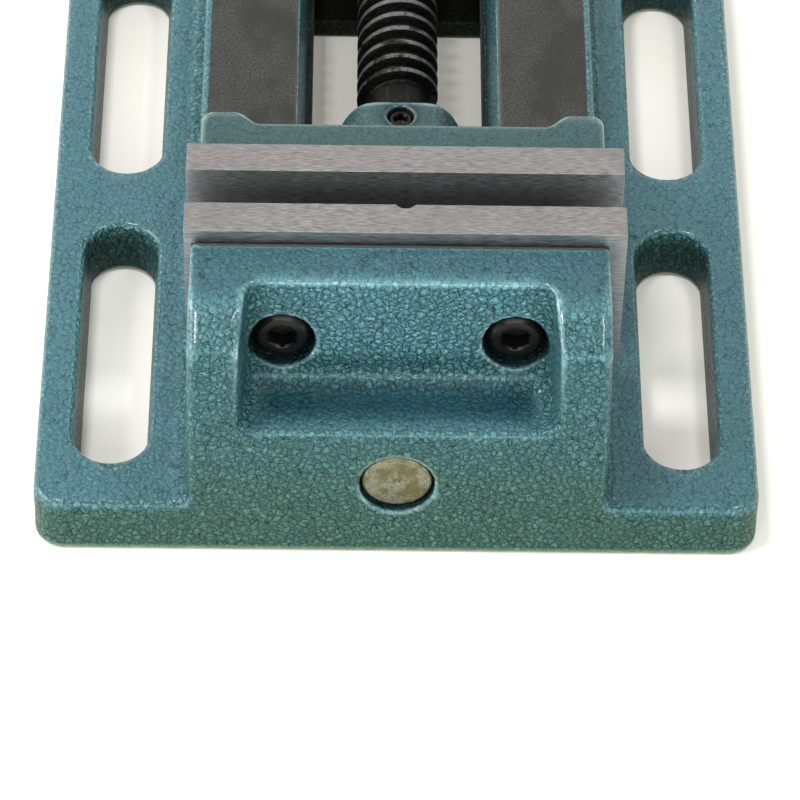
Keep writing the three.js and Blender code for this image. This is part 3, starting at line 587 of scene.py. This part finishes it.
def ground_plate(name, node, groove_x=None):
    """A jaw plate with finely broken edges, and a V groove if asked."""
    low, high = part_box(node)
    edge = 0.14 * MM
    x0, y0, x1, y1 = low.x, low.y, high.x, high.y
    outline = [(x0 + edge, y0), (x1 - edge, y0), (x1, y0 + edge), (x1, y1 - edge), (x1 - edge, y1)]
    if groove_x is not None:
        mouth, foot, depth = 2.4 * MM, 0.8 * MM, 1.2 * MM
        outline += [(groove_x + mouth, y1), (groove_x + foot, y1 - depth),
                    (groove_x - foot, y1 - depth), (groove_x - mouth, y1)]
    outline += [(x0 + edge, y1), (x0, y1 - edge), (x0, y0 + edge)]
    middle = Vector(((x0 + x1) / 2, (y0 + y1) / 2))
    vertices = []
    for z, inward in ((low.z, edge), (low.z + edge, 0), (high.z - edge, 0), (high.z, edge)):
        for x, y in outline:
            at = Vector((x, y))
            if inward:
                at.x += math.copysign(inward, middle.x - x) if abs(x - middle.x) > 0.02 else 0
                at.y += math.copysign(inward, middle.y - y)
            vertices.append((at.x, at.y, z))
    n = len(outline)
    faces = [tuple(range(n))[::-1], tuple(range(3 * n, 4 * n))]
    for level in range(3):
        for i in range(n):
            j = (i + 1) % n
            faces.append((level * n + i, level * n + j, (level + 1) * n + j, (level + 1) * n + i))
    return solid(name, np.array(vertices), faces)


def bore(piece, points, axis, rows):
    """Takes a turned shape out of a piece at each point on its face."""
    for point in points:
        drill = lathe("drill", rows, axis, point, sides=48)
        modifier = piece.modifiers.new("hole", "BOOLEAN")
        modifier.operation = "DIFFERENCE"
        modifier.solver = "EXACT"
        modifier.object = drill
        bpy.context.view_layer.update()
        result = bpy.data.meshes.new_from_object(
            piece.evaluated_get(bpy.context.evaluated_depsgraph_get()))
        piece.modifiers.clear()
        piece.data = result
        bpy.data.objects.remove(drill)


def round_hole(radius, depth):
    return [(0, -1), (radius, -1), (radius, depth), (0, depth + 1.2)]


# ---- Materials ----------------------------------------------------------------------------

class Look:
    """A node material under construction."""

    def __init__(self, name, **surface):
        self.material = bpy.data.materials.new(name)
        self.material.use_nodes = True
        self.tree = self.material.node_tree
        self.surface = self.tree.nodes["Principled BSDF"]
        for socket, value in surface.items():
            self.set(self.surface, socket.replace("_", " "), value)
        place = self.add("ShaderNodeTexCoord").outputs["Object"]
        scaled = self.add("ShaderNodeVectorMath", operation="SCALE")
        self.link(place, scaled.inputs[0])
        scaled.inputs["Scale"].default_value = 1000
        self.mm = scaled.outputs[0]

    def add(self, kind, **settings):
        node = self.tree.nodes.new(kind)
        for key, value in settings.items():
            setattr(node, key, value)
        return node

    def link(self, a, b):
        self.tree.links.new(a, b)

    def set(self, node, socket, value):
        target = node.inputs[socket]
        if isinstance(value, bpy.types.NodeSocket):
            self.link(value, target)
        else:
            target.default_value = value

    def math(self, operation, a, b=0.0):
        node = self.add("ShaderNodeMath", operation=operation)
        self.set(node, 0, a)
        self.set(node, 1, b)
        return node.outputs[0]

    def times(self, a, b):
        return self.math("MULTIPLY", a, b)

    def plus(self, a, b):
        return self.math("ADD", a, b)

    def most(self, a, b):
        return self.math("MAXIMUM", a, b)

    def off_axis(self, centre_z):
        """Distance in millimetres from an axis along Y."""
        x = self.axis(self.mm, 0)
        z = self.math("SUBTRACT", self.axis(self.mm, 2), centre_z)
        return self.math("POWER", self.plus(self.times(x, x), self.times(z, z)), 0.5)

    def stretch(self, vector, x, y, z):
        node = self.add("ShaderNodeVectorMath", operation="MULTIPLY")
        self.link(vector, node.inputs[0])
        node.inputs[1].default_value = (x, y, z)
        return node.outputs[0]

    def offset(self, vector, other, amount):
        """A vector pushed about by another that lies round a half."""
        node = self.add("ShaderNodeVectorMath", operation="MULTIPLY_ADD")
        self.link(other, node.inputs[0])
        node.inputs[1].default_value = (amount,) * 3
        self.link(vector, node.inputs[2])
        return node.outputs[0]

    def noise(self, vector, scale, detail=2.0, output="Fac"):
        node = self.add("ShaderNodeTexNoise")
        self.link(vector, node.inputs["Vector"])
        node.inputs["Scale"].default_value = scale
        node.inputs["Detail"].default_value = detail
        return node.outputs[output]

    def cells(self, vector, scale, feature="DISTANCE_TO_EDGE", output="Distance"):
        node = self.add("ShaderNodeTexVoronoi", feature=feature)
        self.link(vector, node.inputs["Vector"])
        node.inputs["Scale"].default_value = scale
        return node.outputs[output]

    def fade(self, value, low, high, start=0.0, end=1.0):
        """A smooth step of value from start to end as it goes from low to high."""
        node = self.add("ShaderNodeMapRange", interpolation_type="SMOOTHSTEP")
        self.set(node, "Value", value)
        for socket, number in (("From Min", low), ("From Max", high),
                               ("To Min", start), ("To Max", end)):
            node.inputs[socket].default_value = number
        return node.outputs["Result"]

    def mix(self, factor, a, b, blend="MIX"):
        """Colour a, going over to colour b as factor goes from 0 to 1."""
        node = self.add("ShaderNodeMix", data_type="RGBA", blend_type=blend)
        self.set(node, 0, factor)
        self.set(node, 6, a)         # inputs 6 and 7 are the colours, 2 and 3 the numbers
        self.set(node, 7, b)
        return node.outputs[2]

    def between(self, factor, a, b):
        """The same for two numbers."""
        node = self.add("ShaderNodeMix", data_type="FLOAT")
        self.set(node, 0, factor)
        self.set(node, 2, a)
        self.set(node, 3, b)
        return node.outputs[0]

    def mask(self, name):
        return self.add("ShaderNodeAttribute", attribute_name=name).outputs["Fac"]

    def axis(self, vector, index):
        node = self.add("ShaderNodeSeparateXYZ")
        self.link(vector, node.inputs[0])
        return node.outputs[index]

    def bump(self, height, distance, strength=1.0):
        node = self.add("ShaderNodeBump")
        self.set(node, "Strength", strength)
        node.inputs["Distance"].default_value = distance
        self.link(height, node.inputs["Height"])
        return node.outputs[0]

    def finish(self, **sockets):
        for socket, value in sockets.items():
            self.set(self.surface, socket.replace("_", " "), value)
        return self.material


def rgb(r, g, b):
    """A colour given as screen values from 0 to 255."""
    def linear(c):
        c /= 255
        return c / 12.92 if c <= 0.04045 else ((c + 0.055) / 1.055) ** 2.4
    return (linear(r), linear(g), linear(b), 1.0)


def bare_iron(look, grain, convex):
    """Milled cast iron with oily smears and brighter edges."""
    smear = look.noise(look.stretch(look.mm, 0.09, 0.05, 0.05), 1.0, 4.0)
    iron = look.mix(look.fade(grain, 0.3, 0.7), rgb(56, 57, 54), rgb(82, 83, 80))
    iron = look.mix(look.fade(smear, 0.38, 0.6, 0.0, 0.6), iron, rgb(50, 51, 48))
    return look.mix(look.fade(convex, 0.08, 0.3, 0.0, 0.5), iron, rgb(120, 121, 118))


def hammer_paint():
    """Small domed cells with thin dark seams, which break up on faces that lie level."""
    look = Look("hammer_paint", IOR=1.45, Specular_IOR_Level=0.12, Coat_Roughness=0.15)
    convex, shade = look.mask("convex"), look.mask("shade")
    dust_and_shade, painted_shadow = look.mask("dust_and_shade"), look.mask("painted_shadow")
    level = look.fade(look.mask("level"), 0.93, 0.985)
    wander = look.offset(look.mm, look.noise(look.mm, 0.9, 3.0, "Color"), 0.8)
    edge = look.cells(wander, 0.6)
    tone = look.axis(look.cells(wander, 0.6, "F1", "Color"), 0)
    speck = look.noise(look.mm, 2.0, 3.0)
    mottle = look.noise(look.mm, 0.7, 3.0)
    blot = look.noise(look.mm, 0.05, 3.0)
    gaps = look.fade(look.noise(look.mm, 0.75, 2.0), 0.44, 0.54)

    # Colour inside the cells
    colour = look.mix(look.fade(speck, 0.38, 0.62), rgb(56, 102, 110), rgb(104, 160, 168))
    colour = look.mix(look.fade(mottle, 0.35, 0.65, 0.0, 0.5), colour, rgb(50, 94, 98))
    colour = look.mix(look.fade(tone, 0.0, 1.0, 0.0, 0.2), colour, rgb(52, 97, 102))
    colour = look.mix(look.fade(blot, 0.35, 0.7, 0.0, 0.2), colour, rgb(57, 97, 91))
    # Painted sheen: faces that lie level take a bluer tone
    colour = look.mix(look.times(level, 0.6), colour, rgb(60, 95, 107))
    # Painted shade of the domes: darker towards each cell's rim, less so on level faces
    border = look.times(look.fade(edge, 0.02, 0.26, 0.38, 0.0),
                        look.fade(level, 0.0, 1.0, 1.0, 0.3))
    colour = look.mix(border, colour, rgb(36, 70, 78))
    pits = look.times(dust_and_shade, look.fade(speck, 0.47, 0.59, 0.0, 0.8))
    colour = look.mix(pits, colour, rgb(40, 72, 74))

    # Seams, broken by gaps that smaller cells fill
    seam = look.times(look.fade(edge, 0.0, 0.09, 1.0, 0.0), look.plus(look.times(gaps, 0.8), 0.15))
    small = look.times(look.fade(look.cells(wander, 1.2), 0.0, 0.12, 0.65, 0.0),
                       look.math("SUBTRACT", 1.0, gaps))
    seam = look.most(seam, small)
    seam = look.times(seam, look.between(level, 1.0, look.fade(gaps, 0.0, 1.0, 0.08, 0.7)))
    seam = look.times(seam, look.fade(dust_and_shade, 0.0, 1.0, 1.0, 0.4))
    colour = look.mix(seam, colour, rgb(5, 22, 27))

    # Painted highlight and painted glints on edges, painted shade in corners, then the painted
    # shade and light of each place, the painted warm bounce low on upright faces and the darker
    # tint of the movable casting
    glint = look.fade(look.noise(look.mm, 0.35, 3.0), 0.5, 0.64, 0.0, 0.7)
    glint = look.times(look.fade(convex, 0.2, 0.4), glint)
    colour = look.mix(look.fade(convex, 0.08, 0.35, 0.0, 0.6), colour, rgb(116, 168, 178))
    colour = look.mix(glint, colour, rgb(196, 226, 228))
    colour = look.mix(look.fade(convex, -0.5, -0.08, 0.5, 0.0), colour, rgb(11, 42, 49))
    for amount, tint in (
        (look.fade(shade, 0.0, -1.0), (2.2, 1.9, 2.0, 1)),
        (look.fade(shade, 0.0, 1.0), (0.2, 0.36, 0.4, 1)),
        (look.mask("painted_bounce"), (0.74, 0.58, 0.06, 1)),
        # Painted shade: the movable casting darker and greener, besides its dusty pits and softer
        # cells
        (dust_and_shade, (0.9, 0.74, 0.67, 1)),
    ):
        colour = look.mix(amount, colour, tint, blend="MULTIPLY")
    # Painted shadow: near black
    colour = look.mix(painted_shadow, colour, rgb(8, 9, 8))

    # Bare iron, with a ragged edge to the paint
    ragged = look.plus(look.mask("bare"), look.times(look.noise(look.mm, 0.9, 3.0), 0.5))
    bare = look.fade(ragged, 0.2, 0.32)
    painted = look.math("SUBTRACT", 1.0, bare)
    grain = look.noise(look.mm, 1.7, 3.0)
    colour = look.mix(bare, colour, bare_iron(look, grain, convex))

    # Relief and gloss
    dome = look.times(look.fade(edge, -0.06, 0.4), look.between(level, 1.0, 0.3))
    dome = look.times(dome, look.fade(dust_and_shade, 0.0, 1.0, 1.0, 0.4))
    height = look.times(look.plus(dome, look.times(speck, 0.4)), painted)
    height = look.plus(height, look.times(look.times(grain, bare), 0.08))
    coat = look.times(look.fade(look.mask("level"), 0.3, 0.8, 0.1, 0.5),
                      look.fade(convex, -0.3, 0.0, 0.2, 1.0))
    coat = look.most(coat, look.fade(convex, 0.05, 0.3))
    shine = look.between(painted_shadow, look.fade(speck, 0.3, 0.7, 0.3, 0.5), 0.6)
    return look.finish(
        Base_Color=colour,
        Coat_Weight=look.between(look.most(painted_shadow, bare), coat, 0.0),
        Metallic=look.between(bare, 0.25, 0.8),
        Roughness=look.between(bare, shine, look.fade(grain, 0.3, 0.7, 0.4, 0.56)),
        Normal=look.bump(height, 0.00055),
    )


def ground_steel():
    look = Look("ground_steel", Metallic=0.95)
    streak = look.noise(look.stretch(look.mm, 0.4, 4.6, 4.6), 1.0, 3.0)
    fine = look.noise(look.stretch(look.mm, 0.8, 9.0, 9.0), 1.0, 2.0)
    cloud = look.noise(look.mm, 0.06, 3.0)
    scratch = look.fade(look.noise(look.stretch(look.mm, 0.35, 5.0, 5.0), 1.0, 1.0), 0.62, 0.7)
    colour = look.mix(look.fade(streak, 0.3, 0.7), rgb(112, 112, 112), rgb(154, 153, 152))
    colour = look.mix(look.fade(cloud, 0.35, 0.7, 0.0, 0.3), colour, rgb(118, 118, 117))
    colour = look.mix(look.times(scratch, 0.5), colour, rgb(84, 84, 84))
    facing = look.axis(look.add("ShaderNodeTexCoord").outputs["Normal"], 1)
    front = look.fade(facing, -0.7, -0.95)      # painted light: faces toward -Y are made brighter and bluer
    colour = look.mix(front, colour, (1.5, 1.56, 1.66, 1), blend="MULTIPLY")
    lines = look.plus(streak, look.times(fine, 0.8))
    return look.finish(
        Base_Color=colour,
        Roughness=look.fade(lines, 0.6, 1.2, 0.36, 0.54),
        Normal=look.bump(lines, 0.00007, 0.8),
    )


def black_oxide():
    look = Look("black_oxide", Metallic=0.3, IOR=1.5, Specular_IOR_Level=0.35)
    grain = look.noise(look.mm, 2.4, 3.0)
    cloud = look.noise(look.mm, 0.35, 3.0)
    colour = look.mix(look.fade(cloud, 0.3, 0.7), rgb(12, 13, 12), rgb(24, 25, 24))
    return look.finish(
        Base_Color=colour,
        Roughness=look.fade(grain, 0.3, 0.7, 0.2, 0.36),
        Normal=look.bump(grain, 0.00003, 0.5),
    )


def greasy_thread():
    """Black grease in the roots, worn grey crests."""
    look = Look("greasy_thread", IOR=1.5, Specular_IOR_Level=0.12,
                Coat_Weight=0.16, Coat_Roughness=0.04)
    rough = look.noise(look.mm, 0.9, 3.0)
    worn = look.fade(look.plus(look.off_axis(SCREW_Z), look.times(rough, 0.3)), 10.08, 10.14)
    worn = look.times(worn, look.fade(look.noise(look.mm, 0.25, 2.0), 0.32, 0.55))
    return look.finish(
        Base_Color=look.mix(worn, rgb(3, 4, 3), rgb(104, 105, 105)),
        Metallic=look.between(worn, 0.0, 0.9),
        Roughness=look.between(worn, look.fade(rough, 0.3, 0.7, 0.4, 0.6), 0.4),
        Normal=look.bump(rough, 0.0005, look.between(worn, 0.9, 0.2)),
    )


def turned_metal(name, first, second, metallic, spacing, shine):
    """Fine rings about the lead screw's axis, as a lathe leaves on a face."""
    look = Look(name, Metallic=metallic)
    rings = look.math("SINE", look.times(look.off_axis(SCREW_Z), 2 * math.pi / spacing))
    cloud = look.noise(look.mm, 0.34, 3.0)
    speck = look.noise(look.mm, 2.2, 3.0)
    colour = look.mix(look.fade(cloud, 0.38, 0.6), first, second)
    dark = tuple(0.3 * c for c in first[:3]) + (1,)
    colour = look.mix(look.fade(speck, 0.42, 0.66, 0.0, 0.7), colour, dark)
    colour = look.mix(look.fade(rings, -1, 1, 0.0, 0.4), colour, dark)
    return look.finish(
        Base_Color=colour,
        Roughness=look.fade(cloud, 0.3, 0.7, shine, shine + 0.12),
        Normal=look.bump(look.plus(rings, speck), 0.00005, 0.7),
    )


def bright_steel():
    look = Look("bright_steel", Metallic=0.95)
    streak = look.noise(look.stretch(look.mm, 0.08, 1.8, 1.8), 1.0, 3.0)
    cloud = look.noise(look.mm, 0.12, 3.0)
    colour = look.mix(look.fade(cloud, 0.3, 0.7), rgb(186, 186, 190), rgb(164, 164, 168))
    return look.finish(
        Base_Color=colour,
        Roughness=look.fade(streak, 0.3, 0.7, 0.22, 0.36),
        Normal=look.bump(streak, 0.00003, 0.5),
    )


def moulded_plastic():
    look = Look("moulded_plastic", IOR=1.5)
    grain = look.noise(look.mm, 3.0, 2.0)
    cloud = look.noise(look.mm, 0.2, 2.0)
    return look.finish(
        Base_Color=look.mix(look.fade(cloud, 0.3, 0.7), rgb(30, 30, 32), rgb(38, 38, 40)),
        Roughness=look.fade(grain, 0.3, 0.7, 0.3, 0.42),
        Normal=look.bump(grain, 0.00004, 0.5),
    )


# ---- Putting the pieces in place ----------------------------------------------------------

LOOKS = {                        # the material, and the slot that the record names for it
    "paint": (hammer_paint(), "hammer_paint"),
    "steel": (ground_steel(), "ground_steel"),
    "black": (black_oxide(), "black_oxide"),
    "thread": (greasy_thread(), "black_oxide"),
    "zinc": (turned_metal("yellow_zinc", rgb(146, 144, 122), rgb(112, 106, 58), 0.7, 0.55, 0.36),
             "yellow_zinc"),
    "brass": (turned_metal("brass", rgb(176, 142, 82), rgb(150, 118, 64), 0.9, 1.1, 0.32),
              "brass"),
    "bright": (bright_steel(), "bright_steel"),
    "plastic": (moulded_plastic(), "black_oxide"),
}


def install(piece, node, body, look):
    """Dresses a piece, lets it move with its body, and puts it in its CAD node's place."""
    material, slot = LOOKS[look]
    piece.data.materials.clear()
    piece.data.materials.append(material)
    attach(piece, body)
    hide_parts(node)


def end_of(node, axis, high=False):
    """The middle of one end of a node's box, and the box's length in millimetres."""
    box_low, box_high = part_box(node)
    at = (box_low + box_high) / 2
    setattr(at, axis, getattr(box_high if high else box_low, axis))
    return at, (getattr(box_high, axis) - getattr(box_low, axis)) / MM


def centre_y(node):
    """Where a node's middle lies behind the front foot, in millimetres."""
    box_low, box_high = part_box(node)
    return ((box_low.y + box_high.y) / 2 - FRONT_Y) / MM


grid = Grid(FLANGE_HALF, (0, REAR_Y), (0, JAW_Z), 0.62)
piece = carve("fine_base_casting", grid, base_field(grid), base_masks)
install(piece, "base_casting", "base", "paint")

grid = Grid(47.2, (MOVABLE_Y, 114.8), (6.3, JAW_Z), 0.42, mirrored=False)
piece = carve("fine_movable_jaw_casting", grid, movable_field(grid), movable_masks, dust_and_shade=1.0)
install(piece, "movable_jaw_casting", "movable_jaw", "paint")

# Jaw plates and their screws, which go in from the outer faces
JAWS = (("fixed", "base", "+y"), ("movable", "movable_jaw", "-y"))
for jaw, body, inward in JAWS:
    node = f"{jaw}_jaw_plate"
    at, _ = end_of(node, "y", high=inward == "-y")
    groove_x = at.x if jaw == "fixed" else None
    piece = ground_plate(f"fine_{node}", node, groove_x)
    holes = [(sign * PLATE_SCREW_X * MM, at.y, PLATE_SCREW_Z * MM) for sign in (-1, 1)]
    bore(piece, holes, inward, round_hole(4.3, 6.5))
    install(piece, node, body, "steel")

HEAD = 7.7
for side in ("left", "right"):
    for jaw, body, inward in JAWS:
        node = f"{jaw}_plate_screw_{side}"
        at, length = end_of(node, "y", high=inward == "-y")
        at.y += HEAD * MM if inward == "+y" else -HEAD * MM
        install(cap_screw(f"fine_{node}", inward, at, length - HEAD), node, body, "black")

# Front bore plug, with the dimple of the lathe's centre
at, depth = end_of("front_bore_plug", "y")
rows = [(0, 0.9), (0.4, 0.7), (0.9, 0.1), (1.0, 0.0)]
rows += soften([(1.0, 0.0), (7.6, 0.0), (8.1, 0.5), (8.1, depth - 0.5), (7.6, depth)], 0.12)
rows += [(0, depth)]
install(lathe("fine_front_bore_plug", rows, "+y", at), "front_bore_plug", "base", "zinc")

# Nut bush, and the screws that hold it and the journal
at, depth = end_of("leadscrew_nut", "y")
rows = soften([(10.3, 1.0), (11.0, 0.3), (11.2, 0.0), (14.1, 0.0), (14.5, 0.5),
               (14.5, depth - 0.5), (14.1, depth), (11.2, depth), (10.3, depth - 1.0),
               (10.3, 1.0)], 0.12)
install(lathe("fine_leadscrew_nut", rows, "+y", at), "leadscrew_nut", "base", "brass")
for node, body, sizes in (
    ("nut_lock_screw", "base", (2.4, 2.4, 1.44, 0.8, 2.5)),
    ("boss_set_screw", "movable_jaw", (2.9, 3.2, 1.9, 2.0, 3.0)),
):
    at, _ = end_of(node, "z", high=True)
    install(set_screw(f"fine_{node}", "-z", at, *sizes), node, body, "black")

# Keeper plate under the ways, with countersunk screws
at, _ = end_of("keeper_plate", "z")
piece = ground_plate("fine_keeper_plate", "keeper_plate")
screws = ("keeper_screw_front", "keeper_screw_rear")
holes = [(0, end_of(screw, "z")[0].y, at.z) for screw in screws]
bore(piece, holes, "+z", round_hole(3.3, 9))
bore(piece, holes, "+z", [(0, -1), (5.9, -1), (5.9, 0.6), (3.2, 3.3), (0, 3.3)])
install(piece, "keeper_plate", "movable_jaw", "bright")
for node in screws:
    at, length = end_of(node, "z")
    install(countersunk_screw(f"fine_{node}", "+z", at, length), node, "movable_jaw", "black")

# Lead screw and handle
THREAD_FROM, THREAD_TO = 125.4, 214.0
tail_end = (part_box("leadscrew")[1].y - FRONT_Y) / MM
piece = lead_screw("fine_leadscrew", (0, FRONT_Y, SCREW_Z * MM), THREAD_FROM, THREAD_TO,
                   tail_end)
install(piece, "leadscrew", "screw", "thread")

hub_low, hub_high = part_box("handle_hub")
hub_start, hub_end = (hub_low.y - FRONT_Y) / MM, (hub_high.y - FRONT_Y) / MM
grid = Grid(13, (hub_start, hub_end), (8, 34), 0.3)
hub = hub_field(grid, hub_start, hub_end, centre_y("tommy_bar"), centre_y("hub_pin"))
install(carve("fine_handle_hub", grid, hub), "handle_hub", "screw", "black")

at, length = end_of("hub_pin", "z")
rows = [(0, 0)]
rows += soften([(1.4, 0.0), (2.0, 0.35), (2.0, length - 0.35), (1.4, length)], 0.2)
rows += [(0, length)]
install(lathe("fine_hub_pin", rows, "+z", at, sides=48), "hub_pin", "screw", "bright")

at, length = end_of("tommy_bar", "x")
rows = [(0, 0)]
rows += soften([(3.5, 0), (4.0, 0.5), (4.0, length - 0.5), (3.5, length)], 0.3)
rows += [(0, length)]
install(lathe("fine_tommy_bar", rows, "+x", at), "tommy_bar", "bar", "bright")

for side, outward in (("left", "-x"), ("right", "+x")):
    node = f"bar_knob_{side}"
    at, _ = end_of(node, "x", high=side == "left")
    rows = [(0, 6.3), (4.3, 6.3), (4.3, 0.4), (4.6, 0.0)]
    rows += soften([(4.6, 0.0), (6.1, 0.0), (7.0, 1.2), (7.0, 8.0)], 0.8, 5)
    for i in range(1, 13):
        angle = math.pi / 2 * i / 12
        rows.append((3.4 + 3.6 * math.cos(angle), 8.0 + 3.6 * math.sin(angle)))
    rows += [(2.6, 11.85), (1.2, 12.0), (0, 12.0)]
    install(lathe(f"fine_{node}", rows, outward, at), node, "bar", "plastic")


# ---- Floor, lights and camera -------------------------------------------------------------

floor_mesh = bpy.data.meshes.new("floor")
work = bmesh.new()
bmesh.ops.create_grid(work, x_segments=8, y_segments=8, size=6.0)
work.to_mesh(floor_mesh)
work.free()
floor = link("floor", floor_mesh)
floor.location.z = -0.3 * MM       # just below the base, so the two never share a plane
paper = Look("pale_floor", Roughness=0.9)
floor.data.materials.append(paper.finish(
    Base_Color=paper.mix(paper.fade(paper.noise(paper.mm, 0.004, 2.0), 0.3, 0.7),
                         (0.9, 0.89, 0.86, 1), (0.92, 0.91, 0.88, 1))))


def area_light(name, place, aim, size, power, colour):
    data = bpy.data.lights.new(name, "AREA")
    data.shape = "RECTANGLE"
    data.size, data.size_y = size
    data.energy = power
    data.color = colour
    lamp = bpy.data.objects.new(name, data)
    lamp.location = place
    lamp.rotation_euler = (Vector(aim) - Vector(place)).to_track_quat("-Z", "Y").to_euler()
    bpy.context.scene.collection.objects.link(lamp)


OVER_JAWS = (0, -0.05, 0.03)
area_light("back", (0, 1.4, 0.75), (0, 0, 0), (1.6, 0.6), 5.8, (0.94, 0.97, 1))
area_light("key", (-0.3, -0.05, 1.22), OVER_JAWS, (0.2, 0.2), 6, (1, 0.98, 0.94))
area_light("right", (0.42, -0.05, 1.18), OVER_JAWS, (0.16, 0.16), 3, (1, 0.98, 0.94))
area_light("left", (-1.2, 0.0, 0.9), (0, 0, 0), (1.2, 0.7), 19, (1, 0.94, 0.94))
area_light("front", (0, -1.4, 0.75), (0, 0, 0), (1.6, 0.6), 12, (0.84, 1, 0.97))

world = bpy.data.worlds.new("studio")
world.use_nodes = True
background = world.node_tree.nodes["Background"]
background.inputs["Color"].default_value = (1, 0.95, 0.88, 1)
background.inputs["Strength"].default_value = 0.66
bpy.context.scene.world = world
bpy.context.scene.view_settings.view_transform = "Standard"

# The camera of the photograph: looking back and down, with a slight roll
camera_data = bpy.data.cameras.new("camera")
camera_data.sensor_width = 36
camera_data.lens = 201.7
camera_data.clip_end = 20
camera = bpy.data.objects.new("camera", camera_data)
bpy.context.scene.collection.objects.link(camera)
yaw, pitch, roll = (math.radians(angle) for angle in (1.005, 47.585, 1.386))
forward = Vector((math.sin(yaw) * math.cos(pitch), math.cos(yaw) * math.cos(pitch),
                  -math.sin(pitch)))
level_right = Vector((math.cos(yaw), -math.sin(yaw), 0))
level_up = level_right.cross(forward)
right = math.cos(roll) * level_right + math.sin(roll) * level_up
up = -math.sin(roll) * level_right + math.cos(roll) * level_up
turn = Matrix((right, up, -forward)).transposed().to_4x4()
camera.matrix_world = Matrix.Translation((-0.0116, -0.7937, 0.7875)) @ turn
bpy.context.scene.camera = camera
